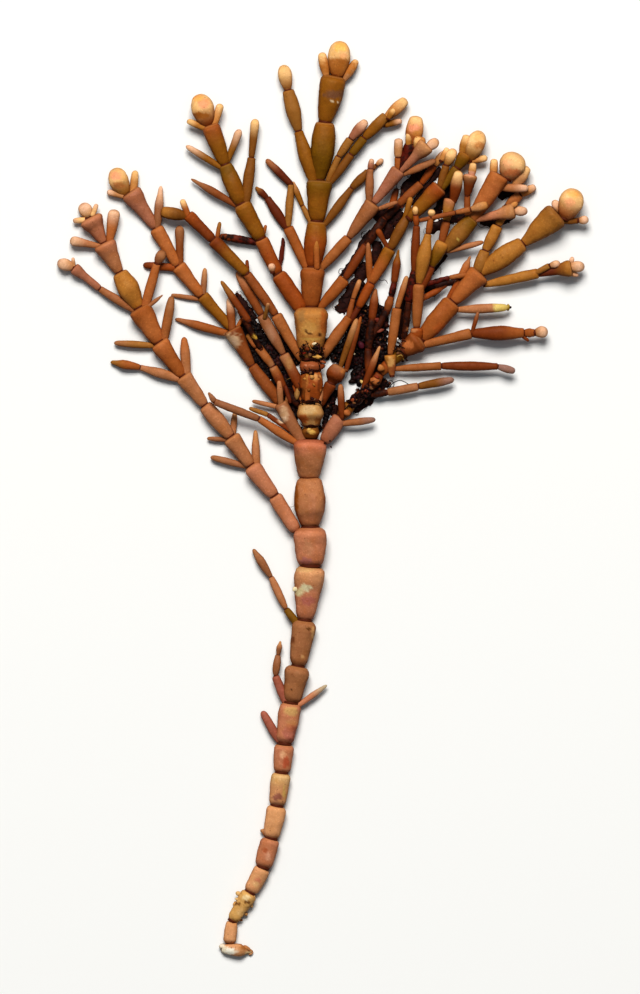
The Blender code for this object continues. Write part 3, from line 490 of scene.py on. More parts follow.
def tube_faces(rings, sides):
    """Four-sided faces around a tube of rings, with a point at each end."""
    ring = np.arange(rings - 1)[:, None] * sides
    step = np.arange(sides)[None, :]
    after = (step + 1) % sides
    a, b = ring + step, ring + after
    walls = np.stack([a, b, b + sides, a + sides], axis=-1).reshape(-1, 4)
    first, last = rings * sides, rings * sides + 1
    side = np.arange(sides)
    near = np.stack([np.full(sides, first), (side + 1) % sides, side, side], axis=-1)
    top = (rings - 1) * sides
    far = np.stack([np.full(sides, last), top + side, top + (side + 1) % sides,
                    top + (side + 1) % sides], axis=-1)
    return np.concatenate([walls, near, far])


def lumpy(points, scale, seed):
    """Soft noise from -1 to 1 at each point, for a grain of that many pixels."""
    return np.array([noise.noise(Vector((p[0] / scale + seed, p[1] / scale, p[2] / scale)))
                     for p in points])


def add_segment(shell, a, b, lift_a, lift_b, row, kind, seed, rough, patches):
    """One limy segment from joint a to joint b, tucked a little into the one below."""
    low, middle, high, colours = row[2:]
    a, b = np.array(a, float), np.array(b, float)
    along = (b - a) / np.hypot(*(b - a))
    across = np.array([-along[1], along[0]])
    blunt = kind in ("cup", "barrel", "dome")
    a = a - along * (0.5 + TUCK * low)
    if blunt:
        b = b + along * CUP_OVERLAP
    length = float(np.hypot(*(b - a)))
    if kind == "tip" and middle > STOUT_TIP * length:
        kind = "bulb"
    marks, widths = segment_profile(length, row, kind)
    rings = max(11, int(round(length / RING_STEP)) + 7)
    even = np.linspace(0, 1, rings)
    where = (0.55 * (0.5 - 0.5 * np.cos(math.pi * even)) + 0.45 * even) * length
    where[0], where[-1] = 0.002 * length, (1.0 if blunt else 0.998) * length
    width = np.sqrt(np.maximum(smooth_curve(marks, [w * w for w in widths], where), 1e-3))
    widest = max(low, middle, high)
    sides = int(min(max(FEWEST_SIDES, math.pi * widest * 0.9 / SIDE_STEP), MOST_SIDES))
    angle = around(sides)
    half = width[:, None] / 2
    cos, sin = np.cos(angle)[None, :], np.sin(angle)[None, :]
    part = where / length
    # the upper side slopes down towards a blunt end
    lean = np.ones(rings)
    if blunt:
        slope = 0.22 * high + 1.5
        near_top = np.clip((where - (length - 0.22 * high - 1.5)) / slope, 0, 1)
        lean = 1 - (CUP_SLOPE if kind == "cup" else BARREL_SLOPE) * near_top ** 2
    # a section a little squarer than an ellipse, with a flatter underside
    out = np.sign(cos) * np.abs(cos) ** SQUARED * half
    up = np.where(sin < 0, UNDERSIDE, lean[:, None]) * sin * half * FLATNESS
    lift = lift_a + (lift_b - lift_a) * part
    sway = 0.02 * widest * noise.noise(Vector((seed, 7.7, 2.2))) * np.sin(math.pi * part)
    x = a[0] + along[0] * where[:, None] + across[0] * (out + sway[:, None])
    y = a[1] + along[1] * where[:, None] + across[1] * (out + sway[:, None])
    mid_height = lift + width / 2 * FLATNESS
    z = mid_height[:, None] + up
    points = np.stack([x, y, z], axis=-1).reshape(-1, 3)
    outward = np.tile(np.stack([across[0] * cos, across[1] * cos, sin], axis=-1).reshape(-1, 3),
                      (rings, 1))
    # broad and fine unevenness
    broad = lumpy(points, 12.0, seed)
    fine = lumpy(points, 3.1, seed + 40)
    swell = (0.035 * broad + 0.012 * fine) * np.repeat(width, sides) + rough * (
        0.5 * fine + 0.35 * lumpy(points, 1.7, seed + 80))
    points = points + outward * swell[:, None]
    ends = np.array([[a[0], a[1], mid_height[0]], [b[0], b[1], mid_height[-1]]])
    points = grounded(np.concatenate([points, ends]))
    # wear and painted light: the dark crease at a joint, which is partly the joint's own colour and
    # partly painted shade, a painted highlight along the rim of a cup, and dirt
    part = np.concatenate([np.repeat(part, sides), [0.0, 1.0]])
    far = part * length
    # the crease darkens the ends of a segment: the joint's own colour and painted shade
    crease_joint_and_shade = np.exp(-np.maximum(far - 0.1 - 0.05 * low, 0) / (0.3 + 0.035 * low))
    if blunt:
        crease_joint_and_shade = np.maximum(crease_joint_and_shade, np.exp(-(length - far) / 0.3))
    # painted highlight: a pale band just below the top end of a wide cup or barrel
    rim_highlight = 0 * far
    if kind in ("cup", "barrel"):
        rim_highlight = np.exp(-((length - far) - 1.6) ** 2) * min(max((high - 9) / 9, 0.0), 1.0)
    dirt = np.full(len(part), 1.0 if colours[0] in "dx" else 0.0)
    # pigment: from the lower colour to the upper one, and then the patches
    base = np.array(linear(PIGMENTS[colours[0]]))
    tip = np.array(linear(PIGMENTS[colours[-1]]))
    first, last = (0.12, 0.7) if kind == "bulb" else (0.45, 0.95)
    blend = np.clip((part - first) / (last - first), 0, 1)[:, None]
    blend = blend * blend * (3 - 2 * blend)
    tone = 1 + 0.10 * noise.noise(Vector((seed * 3.7, 1.3, 0)))
    pigment = (base * (1 - blend) + tip * blend) * tone
    for px, py, wide, tall, shade in patches:
        off = np.hypot((points[:, 0] - px) / wide, (points[:, 1] - py) / tall)
        if off.min() > 1.4 or points[:, 2].max() < 1:
            continue
        edge = 0.35 * lumpy(points, 2.6, px) + 0.2 * lumpy(points, 1.3, py)
        amount = np.clip((1.0 - off + edge) / 0.3, 0, 1)[:, None]
        pigment = pigment * (1 - amount) + np.array(linear(shade)) * amount
    shell.add(points, sides, pigment, np.stack([crease_joint_and_shade, rim_highlight, dirt], axis=-1))


def add_joint(shell, at, along, width, height):
    """The dark bending joint between two segments."""
    marks = np.array([-1.2, -0.5, 0.5, 1.2])[:, None]
    line = np.concatenate([at + along * marks, np.full((len(marks), 1), height)], axis=1)
    points = tube_points(line, along[None, :], width / 2, width / 2 * FLATNESS, JOINT_SIDES)
    shell.add(grounded(points), JOINT_SIDES, linear(JOINT_COLOUR), (1.0, 0.0, 0.0))


def add_lump(shell, place, size, turn, colour, seed, ragged=0.36, round_from=4):
    """A crumb of lime or dirt, by its length, width and thickness and its turn in degrees."""
    if max(size) > round_from:
        rings, sides = 8, 12
    elif max(size) > 2:
        rings, sides = 5, 7
    else:
        rings, sides = 4, 6
    polar = math.pi * (np.arange(rings) + 0.5)[:, None] / rings
    angle = around(sides)[None, :]
    points = np.stack([-np.cos(polar) + 0 * angle, np.sin(polar) * np.cos(angle),
                       np.sin(polar) * np.sin(angle)], axis=-1).reshape(-1, 3)
    points = np.concatenate([points, [[-1.0, 0, 0], [1.0, 0, 0]]])
    uneven = 1 + ragged * lumpy(points, 0.9, seed)
    points = points * uneven[:, None] * np.array(size) / 2
    c, s = math.cos(math.radians(turn)), math.sin(math.radians(turn))
    turned = np.stack([points[:, 0] * c - points[:, 1] * s, points[:, 0] * s + points[:, 1] * c,
                       points[:, 2]], axis=-1) + np.array(place)
    tone = 1 + 0.35 * lumpy(points, 0.8, seed + 9)
    shell.add(grounded(turned), sides, np.array(linear(colour)) * tone[:, None])


def add_fibre(shell, path, thick, colour):
    """A thin thread through points (x, y, height)."""
    line, ahead, part = curve_line(path, FIBRE_STEPS)
    half = thick / 2 * np.minimum(1, 0.4 + 0.6 * np.sin(math.pi * part) * 2)[:, None]
    points = tube_points(line, ahead, half, half, FIBRE_SIDES)
    shell.add(grounded(points), FIBRE_SIDES, linear(colour))


def curled_path(dice, x, y, step, curl, heights, scale=1):
    """Five points of a thread that starts at (x, y) and curls."""
    heading = dice.uniform(0, 2 * math.pi)
    path = []
    for n in range(5):
        turned = heading + curl * n * n
        path.append((x + step * n * math.cos(turned), y + step * n * math.sin(turned),
                     scale * dice.uniform(*heights)))
    return path


def add_mat(shell, x, y, reach, top, base, seed):
    """Dirt caught between twigs: dark crumbs and short threads over a disc of the plan."""
    dice = np.random.default_rng(seed)
    for _ in range(int(6 + 0.45 * reach * reach)):
        angle, far = dice.uniform(0, 2 * math.pi), reach * math.sqrt(dice.uniform())
        long = dice.uniform(1.6, 4.4)
        size = (long, long * dice.uniform(0.5, 0.9), long * dice.uniform(0.5, 0.9))
        height = base + dice.uniform(0.1, 1.0) * top * (1 - 0.5 * (far / reach) ** 2)
        colour = pick(dice, DIRT)
        add_lump(shell, (x + far * math.cos(angle), y + far * math.sin(angle), height), size,
                 dice.uniform(0, 180), colour, dice.uniform(0, 90))
    for _ in range(int(0.9 * reach)):
        angle, far = dice.uniform(0, 2 * math.pi), 0.8 * reach * math.sqrt(dice.uniform())
        heading, long = dice.uniform(0, 2 * math.pi), dice.uniform(2.5, 5.5)
        bend = dice.uniform(-0.9, 0.9)
        at = np.array([x + far * math.cos(angle), y + far * math.sin(angle)])
        path = []
        for _ in range(4):
            path.append((at[0], at[1], base + top * dice.uniform(0.5, 1.05)))
            at = at + 0.5 * long * np.array([math.cos(heading), math.sin(heading)])
            heading += bend
        add_fibre(shell, path, dice.uniform(0.4, 0.8), pick(dice, DIRT[:3]))


def add_dirt_and_shadow_film(shell, spine, seed):
    """A thin dark film on the ground, partly dirt and partly painted shadow, along a spine of points
    (x, y, width).
    """
    dice = np.random.default_rng(300 + int(10 * seed))
    line, ahead, _ = curve_line(spine, FILM_STEPS)
    half = line[:, 2:] / 2
    line = line * (1, 1, 0)
    edge = np.array([[noise.noise(Vector((n / 3.0, side, seed))) for side in (0.5, 7.5)]
                     for n in range(len(line))])
    near_side = np.cos(around(FILM_SIDES)) > 0
    reach = half * (1 + 0.5 * np.where(near_side, edge[:, :1], edge[:, 1:]))
    points = tube_points(line, ahead, reach, np.minimum(0.35 * half, 1.1), FILM_SIDES)
    points[:, 2] *= 1 + 0.5 * lumpy(points, 2.5, seed)
    points = grounded(points)
    blotch = np.clip(0.5 + 0.9 * lumpy(points, 5.0, seed + 3), 0, 1)[:, None]
    # a dark sheet, partly dirt and partly painted shadow, in two colours blotched together
    pigment = np.array(linear(FILM_DIRT_AND_SHADOW[0])) * (1 - blotch) + np.array(linear(FILM_DIRT_AND_SHADOW[1])) * blotch
    shell.add(points, FILM_SIDES, pigment)
    for n in range(2, len(line) - 2):
        for _ in range(2 if half[n, 0] > 4 else 1):
            side = dice.uniform(-1.1, 1.1) * half[n, 0]
            at = line[n, :2] + side * np.array([-ahead[n, 1], ahead[n, 0]])
            long = dice.uniform(0.9, 2.8)
            add_lump(shell, (at[0], at[1], dice.uniform(0.3, 1.2)), (long, 0.8 * long, 0.7 * long),
                     dice.uniform(0, 180), pick(dice, DIRT[:-1]), at[0] + at[1])
        if dice.uniform() < 0.3:
            path = curled_path(dice, at[0], at[1], 1.7, 0.15, (0.8, 2.6))
            add_fibre(shell, path, dice.uniform(0.35, 0.6), pick(dice, DIRT[:4]))


def inside(x, y, outline):
    """Whether a point lies within an outline."""
    found = False
    for (x1, y1), (x2, y2) in zip(outline, outline[1:] + outline[:1]):
        if (y1 > y) != (y2 > y) and x < x1 + (y - y1) * (x2 - x1) / (y2 - y1):
            found = not found
    return found


def add_dirt_and_shadow_bed(shell, top, outline, seed):
    """A near-black bed within an outline of the plan, partly fine dirt and partly painted shadow, with
    a few grains and threads.
    """
    dice = np.random.default_rng(seed)
    left, right = min(p[0] for p in outline), max(p[0] for p in outline)
    low, high = min(p[1] for p in outline), max(p[1] for p in outline)
    for y in np.arange(low, high + BED_STEP, BED_STEP):
        for x in np.arange(left, right + BED_STEP, BED_STEP):
            at_x = x + dice.uniform(-BED_JITTER, BED_JITTER)
            at_y = y + dice.uniform(-BED_JITTER, BED_JITTER)
            if not inside(at_x, at_y, outline):
                continue
            size = (dice.uniform(5.4, 8.2), dice.uniform(5.0, 6.8), dice.uniform(0.8, 1.1) * top)
            # the ground: near-black lumps, partly dirt and partly painted shadow
            blotch = noise.noise(Vector((at_x / 8, at_y / 8, 0.5))) > 0.18
            colours = BED_MAROON_DIRT_AND_SHADOW if blotch else BED_DIRT_AND_SHADOW
            add_lump(shell, (at_x, at_y, 0.15 * top), size, dice.uniform(0, 180),
                     pick(dice, colours), dice.uniform(0, 90), ragged=0.2, round_from=9)
            if dice.uniform() < 0.34:
                long = dice.uniform(0.8, 3.4) if top > 4 else dice.uniform(0.8, 1.6)
                place = (at_x + dice.uniform(-1, 1), at_y + dice.uniform(-1, 1),
                         top * dice.uniform(0.5, 0.75))
                add_lump(shell, place, (long, 0.8 * long, 0.6 * long), dice.uniform(0, 180),
                         pick(dice, DIRT), dice.uniform(0, 90))
            if dice.uniform() < 0.1:
                path = curled_path(dice, at_x, at_y, 1.8, 0.12, (0.6, 0.9), top)
                add_fibre(shell, path, dice.uniform(0.4, 0.7), pick(dice, DIRT[:7]))


def mesh_object(name, shell):
    """A mesh with its pigment, and its wear and painted light, as colours of its corners."""
    points = np.concatenate(shell.points)
    faces = np.concatenate(shell.faces)
    placed = np.stack(to_world(*points.T), axis=-1)
    corners = [list(dict.fromkeys(face.tolist())) for face in faces]
    mesh = bpy.data.meshes.new(name)
    mesh.from_pydata(placed.tolist(), [], corners)
    for title, rows in (("pigment", shell.pigment), ("wear_and_painted_light", shell.wear_and_painted_light)):
        colours = np.concatenate(rows)
        layer = mesh.color_attributes.new(title, "FLOAT_COLOR", "POINT")
        filled = np.concatenate([colours, np.ones((len(colours), 1))], axis=1)
        layer.data.foreach_set("color", filled.astype(np.float32).ravel())
    mesh.validate()
    mesh.shade_smooth()
    item = bpy.data.objects.new(name, mesh)
    bpy.context.scene.collection.objects.link(item)
    return item


def segment_kind(branch, number, chain_name, last):
    """The form of a segment, by the place of its chain in the branch and whether it is its last."""
    plain = "barrel" if branch == "main_stem" else "cup"
    if not last:
        return plain
    if chain_name == "stem":
        return "dome"
    if chain_name == "knob":
        return "barrel"
    if chain_name in OPEN_ENDS:
        return "cup"
    if number == 0 and branch not in ("left_low_branch", "right_inner_branch"):
        return plain
    return "tip"


def build_branch(name, chains):
    """Every segment and joint of one branch, and the dirt and the dark films and beds of dirt and
    painted shadow that lie against it.
    """
    shell = Shell()
    patches = PATCHES.get(name, [])
    for number, (chain_name, start, lifts, rows) in enumerate(chains):
        joints = [start] + [row[:2] for row in rows]
        spans = [math.dist(a, b) for a, b in zip(joints, joints[1:])]
        total = sum(spans)
        raised = 0.0 if number == 0 else SIDE_LIFT
        walked = 0.0
        for index, row in enumerate(rows):
            a, b = joints[index], joints[index + 1]
            kind = segment_kind(name, number, chain_name, index == len(rows) - 1)
            lift_a = lifts[0] + (lifts[1] - lifts[0]) * walked / total + raised
            walked += spans[index]
            lift_b = lifts[0] + (lifts[1] - lifts[0]) * walked / total + raised
            seed = 17.0 * number + 5.3 * index + 0.37 * len(name)
            rough = ROUGH_COLOURS.get(row[5][0], 0.1)
            add_segment(shell, a, b, lift_a, lift_b, row, kind, seed, rough, patches)
            if (index or number) and chain_name != "crust":
                heading = (np.array(b, float) - np.array(a, float)) / spans[index]
                before = rows[index - 1][4] if index else row[2]
                width = 0.8 * min(before, row[2])
                add_joint(shell, np.array(a, float), heading, width,
                          lift_a + row[2] / 2 * FLATNESS)
    for x, y, height, size, turn, colour in LUMPS.get(name, []):
        add_lump(shell, (x, y, height), size, turn, colour, x + y)
    for path, thick, colour in FIBRES.get(name, []):
        add_fibre(shell, path, thick, colour)
    for number, (x, y, reach, top, base) in enumerate(MATS.get(name, [])):
        add_mat(shell, x, y, reach, top, base, 40 + number)
    for number, spine in enumerate(DIRT_AND_SHADOW_FILMS.get(name, [])):
        add_dirt_and_shadow_film(shell, spine, 5.3 * number + 0.7)
    for number, (top, outline) in enumerate(DIRT_AND_SHADOW_BEDS.get(name, [])):
        add_dirt_and_shadow_bed(shell, top, outline, 90 + number)
    return mesh_object(name + "_lime", shell)


# Chains whose last segment carries tips, so that it ends in a cup and not in a round tip.
OPEN_ENDS = {
    "reach", "reach_main", "reach_top", "reach_s2", "rose", "rose_top", "rose_fan", "pair_b",
    "inner", "mid", "high", "w", "w_main", "w_top", "w_fan", "w_l1", "spray", "spray_fan",
}

# How rough the chalky and the dirty segments are, in pixels. The others are smoother.
ROUGH_COLOURS = {"y": 0.9, "c": 0.9, "d": 0.7, "x": 0.7}

# Dirt from near black to dark brown, and now and then a paler grain.
DIRT = [(24, 8, 8), (34, 12, 10), (46, 20, 12), (30, 12, 16), (58, 24, 22), (74, 34, 16),
        (44, 18, 28), (90, 44, 22), (28, 10, 6), (40, 14, 6), (116, 76, 44)]

# The ground of a bed of dirt and painted shadow: how far apart and how far off their places its lumps
# lie, in pixels, and the colours of the ground and of the redder blotches in it.
BED_STEP = 2.9
BED_JITTER = 1.8
BED_DIRT_AND_SHADOW = [(16, 6, 6), (22, 8, 8), (14, 5, 8), (26, 10, 6), (18, 6, 4)]
BED_MAROON_DIRT_AND_SHADOW = [(52, 16, 16), (44, 14, 18), (62, 26, 16), (38, 12, 10)]

# The two colours of a film of dirt and painted shadow.
FILM_DIRT_AND_SHADOW = [(26, 7, 4), (56, 19, 10)]

# Crumbs of dirt, as (x, y, radius, height, height of what they lie on).
MATS = {
    "right_low_branch": [
        (352, 404, 6, 6, 0), (362, 394, 7, 7, 0), (371, 386, 5, 7, 0), (345, 411, 5, 6, 0),
        (352, 404, 5, 5, 11), (358, 399, 5, 6, 12), (363, 394, 5, 6, 12), (368, 389, 5, 5, 12),
        (345, 411, 3.5, 4, 11), (376, 381, 3, 5, 12), (401, 347, 5, 6, 8), (404, 357, 4, 5, 6),
        (393, 350, 3, 8, 4), (405, 336, 3, 8, 2), (388, 384, 2.5, 4, 0), (398, 352, 3, 5, 10),
        (377, 391, 4, 6, 3), (366, 400, 3, 5, 2),
    ],
    "main_axis": [
        (303, 350, 4, 5, 15), (309, 352, 5, 5, 18), (315, 351, 5, 5, 18), (320, 350, 4, 5, 15),
        (306, 347, 3, 4, 19), (312, 354, 4, 4, 19), (317, 346, 3, 4, 19), (303, 356, 3, 6, 12),
        (321, 356, 3, 6, 11), (312, 401, 3, 4, 18), (302, 401, 3, 8, 8), (320, 401, 3, 8, 8),
        (310, 426, 3, 4, 11), (299, 428, 3, 6, 0), (321, 428, 3, 6, 0), (311, 372, 3, 3, 17),
        (304, 372, 2.5, 4, 13), (318, 372, 2.5, 4, 13),
    ],
}

# Beds on the ground between crowded twigs, partly dirt and partly painted shadow: height and outline in
# the plan.
DIRT_AND_SHADOW_BEDS = {
    "right_low_branch": [
        (7, [(354, 298), (360, 286), (365, 277), (366, 290), (363, 306), (372, 305), (384, 306),
         (388, 311), (386, 330), (386, 350), (391, 356), (382, 370), (374, 373), (365, 380),
         (358, 384), (352, 382), (352, 372), (342, 361), (333, 360), (332, 354), (342, 344),
         (350, 330), (355, 318), (353, 308)]),
    ],
    "main_axis": [
        (4, [(240, 313), (246, 313), (257, 323), (267, 337), (277, 351), (285, 363), (294, 378),
         (301, 392), (301, 410), (294, 411), (285, 400), (273, 384), (261, 368), (250, 354),
         (243, 340), (240, 327)]),
        (5, [(279, 329), (281, 332), (284, 340), (290, 352), (297, 360), (297, 365), (292, 364),
         (286, 356), (281, 348), (279, 340)]),
        (6, [(288, 393), (298, 399), (297, 410), (297, 422), (293, 417), (289, 406)]),
        (6, [(324, 396), (331, 393), (335, 386), (339, 393), (334, 402), (328, 414), (325, 428),
         (322, 424), (323, 410)]),
        (5, [(325, 340), (329, 337), (331, 345), (329, 355), (325, 363), (323, 352)]),
    ],
}

# Thin dark films on the ground, partly dirt and partly painted shadow, as a spine of (x, y, width), per
# branch.
DIRT_AND_SHADOW_FILMS = {
    "right_low_branch": [
        [(408, 284, 4), (405, 295, 9), (404, 308, 11), (402, 320, 12), (399, 332, 12), (396, 338, 7)],
        [(418, 238, 4), (416, 252, 7), (415, 268, 7), (413, 281, 5)],
        [(425, 292, 12), (433, 288, 9), (445, 284, 6), (458, 281, 5), (468, 279, 3)],
        [(447, 255, 3), (440, 261, 6), (434, 268, 7), (430, 274, 5)],
        [(473, 214, 4), (462, 217, 7), (450, 220, 8), (438, 226, 10), (430, 230, 9), (426, 231, 5)],
        [(480, 222, 6), (490, 222, 9), (500, 221, 9), (508, 219, 6), (514, 217, 3)],
        [(500, 199, 6), (504, 194, 9), (512, 193, 8), (519, 193, 6), (524, 193, 3)],
        [(353, 411, 8), (362, 404, 11), (371, 397, 11), (378, 391, 9), (384, 383, 8), (387, 380, 4)],
    ],
    "right_mid_branch": [
        [(448, 181, 8), (449, 190, 11), (447, 199, 11), (441, 206, 10), (436, 213, 9), (432, 220, 5)],
    ],
    "right_inner_branch": [
        [(427, 169, 5), (421, 175, 10), (413, 182, 13), (406, 190, 11), (402, 198, 7)],
        [(402, 211, 8), (396, 217, 12), (391, 224, 13), (388, 232, 10), (386, 239, 5)],
        [(397, 205, 8), (389, 210, 10), (382, 215, 12), (376, 221, 8)],
        [(377, 241, 9), (376, 250, 11), (375, 258, 8), (373, 266, 4)],
        [(371, 230, 4), (367, 238, 8), (361, 248, 8), (356, 256, 6), (350, 264, 5), (344, 272, 4),
         (339, 278, 3)],
        [(365, 262, 7), (362, 272, 12), (357, 281, 12), (352, 291, 12), (347, 300, 13), (342, 307, 13),
         (338, 312, 8)],
        [(440, 167, 3), (436, 175, 6), (429, 183, 5), (423, 190, 4), (416, 200, 4), (412, 205, 3)],
    ],
    "main_axis": [
        [(236, 293, 3), (241, 300, 6), (246, 307, 7), (251, 313, 7), (256, 319, 5)],
        [(337, 405, 6), (334, 411, 8), (333, 416, 5)],
    ],
}

# Single crumbs and bits, as (x, y, height), size, turn and colour, per branch.
LUMPS = {
    "left_high_branch": [
        # two dark strips beside the twig, partly a hidden dark twig and partly painted shade
        (281.5, 255, 2.5, (30, 5, 4.5), 97, (98, 36, 18)),
        (283, 243, 3, (10, 4, 3.5), 90, (84, 30, 18)),
    ],
    "main_stem": [
        (226, 948, 3, (8, 7, 5), 0, (232, 220, 196)), (233, 947, 3, (9, 6, 5), 0, (206, 166, 120)),
        (244, 950, 2.5, (11, 5, 4), -24, (170, 108, 60)),
        (251, 953.5, 1.5, (5, 3, 3), -30, (190, 140, 100)),
        (239, 893.5, 7, (6, 5, 4), 20, (214, 172, 112)), (253, 897, 7, (5, 6, 4), 10, (206, 160, 104)),
        (235, 904, 5, (4, 6, 4), 10, (198, 150, 88)), (251, 905, 5, (4, 6, 4), -20, (200, 154, 96)),
        (233, 914, 4, (4, 5, 4), 0, (184, 134, 80)), (246, 914, 4, (4, 4, 4), 10, (190, 142, 88)),
        (232, 919, 3, (3, 3, 3), 0, (130, 80, 36)), (241, 920, 4, (4, 2, 2), 0, (120, 70, 30)),
        (225, 950, 3, (6, 5, 5), 10, (244, 238, 222)), (231, 952, 3, (8, 4, 5), 5, (240, 232, 214)),
        (237, 951.5, 3, (6, 4, 4), -8, (232, 220, 196)), (243, 953.5, 2, (5, 3, 3), 0, (222, 206, 176)),
        (222, 946, 4, (5, 6, 5), 40, (228, 214, 190)), (239, 945, 5, (8, 3, 3), 6, (150, 84, 40)),
        (247, 948, 4, (8, 4, 4), 30, (186, 128, 82)), (229, 946, 6, (6, 3, 3), -10, (214, 184, 140)),
        (247, 896, 9, (6, 4, 3), 20, (236, 210, 164)),
        (243, 899, 10, (5, 3, 2.4), -10, (226, 196, 148)),
        (250, 900, 8, (4, 3, 3), 60, (232, 208, 166)), (237, 899, 9, (4, 3, 2.4), 30, (212, 172, 112)),
        (262, 831, 4, (4, 3.4, 3), 50, (170, 120, 76)), (265, 833, 3, (3, 3, 3), 0, (120, 74, 36)),
        (296, 589, 15, (7, 5, 2.4), -20, (222, 208, 170)),
        (308, 586.5, 18, (7, 4, 2), 10, (226, 212, 176)), (325, 443, 19, (2.6, 2, 2), 0, (50, 24, 10)),
        (331, 447, 15, (2.4, 2, 2), 30, (44, 20, 8)), (299, 443.5, 17, (3, 2, 2), 0, (60, 28, 10)),
        (330, 441, 15, (2, 2, 2), 0, (40, 20, 10)),
    ],
    "main_axis": [
        (317, 357, 20, (9, 4.5, 3), 10, (206, 158, 84)),
        (314, 344, 23, (5, 3, 2), -20, (224, 204, 168)), (307, 349, 22, (5, 4, 3), 30, (120, 60, 24)),
        (312, 346, 23, (4, 3, 3), 70, (150, 96, 44)), (305, 379, 18, (4, 3, 3), 0, (180, 126, 64)),
        (312, 377, 20, (5, 4, 3), 20, (190, 140, 80)), (318, 380, 18, (5, 4, 3), -30, (180, 122, 62)),
        (314, 385, 20, (4, 3, 2.6), 60, (164, 104, 46)), (320, 390, 17, (3, 5, 3), 0, (150, 92, 44)),
        (309, 390, 20, (3, 4, 2.6), 20, (140, 82, 34)), (306, 366, 19, (4, 3, 2), 20, (180, 120, 90)),
        (309, 430, 15, (5, 4, 3), 0, (196, 156, 86)), (314, 433, 14, (4, 3, 3), 40, (170, 124, 56)),
        (297, 394, 10, (5, 12, 4), 8, (156, 116, 66)), (287, 400, 8, (4, 8, 4), -8, (132, 84, 48)),
        (304, 353, 21, (4, 3, 3), 0, (140, 40, 20)), (311, 366, 19, (8, 3, 2), 8, (170, 106, 74)),
        (323, 362, 15, (6, 3, 3), 20, (150, 84, 50)), (331, 390, 11, (5, 4, 3), 60, (150, 90, 52)),
    ],
    "right_low_branch": [
        (347, 413, 14, (7, 7, 5), 20, (168, 100, 52)), (375, 381, 13, (10, 9, 7), 30, (176, 106, 56)),
        (377, 377, 15, (6, 3, 3), 30, (132, 54, 26)), (381, 368, 14, (7, 7, 5), 0, (184, 120, 66)),
        (362, 382, 9, (5, 3.5, 3), 40, (226, 196, 130)),
        (354, 354, 10, (3, 2.5, 2), 0, (222, 204, 170)),
        (397, 339, 14, (3, 3, 2.4), 0, (244, 240, 232)), (380, 331, 8, (8, 3.4, 3), -24, (122, 62, 44)),
        (377, 320, 8, (6, 5, 3), 20, (110, 46, 34)), (369, 339, 7, (9, 6, 3), -20, (66, 18, 28)),
        (361, 345, 7.5, (8, 6, 3), 50, (74, 20, 34)), (383, 318, 8, (6, 4, 3), 0, (104, 44, 32)),
        (353, 400, 15, (5, 3.5, 3), -40, (140, 66, 34)), (366, 391, 14, (5, 4, 3), 10, (120, 50, 28)),
        (508, 307.5, 9, (4, 6.5, 6), 0, (168, 140, 60)),
        (510.5, 307.5, 10, (2, 2.6, 2.6), 0, (30, 16, 8)),
    ],
}

# Threads, as points (x, y, height), thickness and colour, per branch.
FIBRES = {
    "right_low_branch": [
        ([(384, 391, 8), (386, 384, 11), (390, 380.5, 12), (394, 384, 10), (393, 391, 8)],
         0.8, (20, 10, 6)),
        ([(388, 392, 8), (392, 384, 12), (400, 380.5, 14), (408, 384, 12), (413, 388, 9)],
         0.9, (16, 8, 4)),
        ([(393, 353, 13), (399, 350.5, 16), (405, 356, 14), (407, 361, 11)], 0.9, (30, 14, 6)),
        ([(396, 357, 13), (401, 355, 15), (404, 361, 11)], 0.8, (206, 170, 90)),
        ([(403, 340, 15), (408, 343, 17), (413, 348, 15)], 1.0, (60, 22, 8)),
        ([(398, 346, 14), (404, 348, 16), (409, 356, 12)], 0.8, (34, 14, 6)),
        ([(342, 412, 13), (350, 405, 16), (356, 407, 14)], 0.9, (24, 10, 8)),
        ([(356, 388, 11), (364, 392, 14), (370, 399, 12)], 0.9, (20, 8, 6)),
        ([(359, 402, 13), (366, 396, 15), (373, 398, 11)], 0.8, (30, 12, 8)),
        ([(378, 278, 6), (381, 280.5, 8), (385, 280, 8), (388, 284, 6)], 0.7, (40, 18, 10)),
    ],
    "main_axis": [
        ([(298, 405, 13), (304, 402, 20), (311, 400.5, 22), (317, 402, 21), (323, 406, 14)],
         1.5, (58, 24, 12)),
        ([(301, 424, 12), (305, 426.5, 15), (311, 425, 17), (318, 427, 13)], 1.3, (60, 28, 14)),
        ([(300, 359, 12), (306, 360.5, 18), (312, 358.5, 20), (317, 360.5, 18), (322, 360, 12)],
         1.2, (64, 24, 12)),
        ([(300, 371, 12), (304, 369, 17), (308, 372.5, 19), (314, 370, 19), (321, 371.5, 13)],
         1.2, (60, 22, 12)),
        ([(290, 384, 8), (295, 381, 10), (300, 386, 12), (301, 396, 13)], 0.9, (50, 24, 12)),
        ([(286, 380, 8), (292, 378, 10), (298, 381, 10)], 0.8, (128, 96, 50)),
    ],
    "main_stem": [
        ([(278, 500, 4), (283, 505.5, 5), (291, 507, 6), (297, 504, 8)], 0.35, (60, 44, 20)),
    ],
}

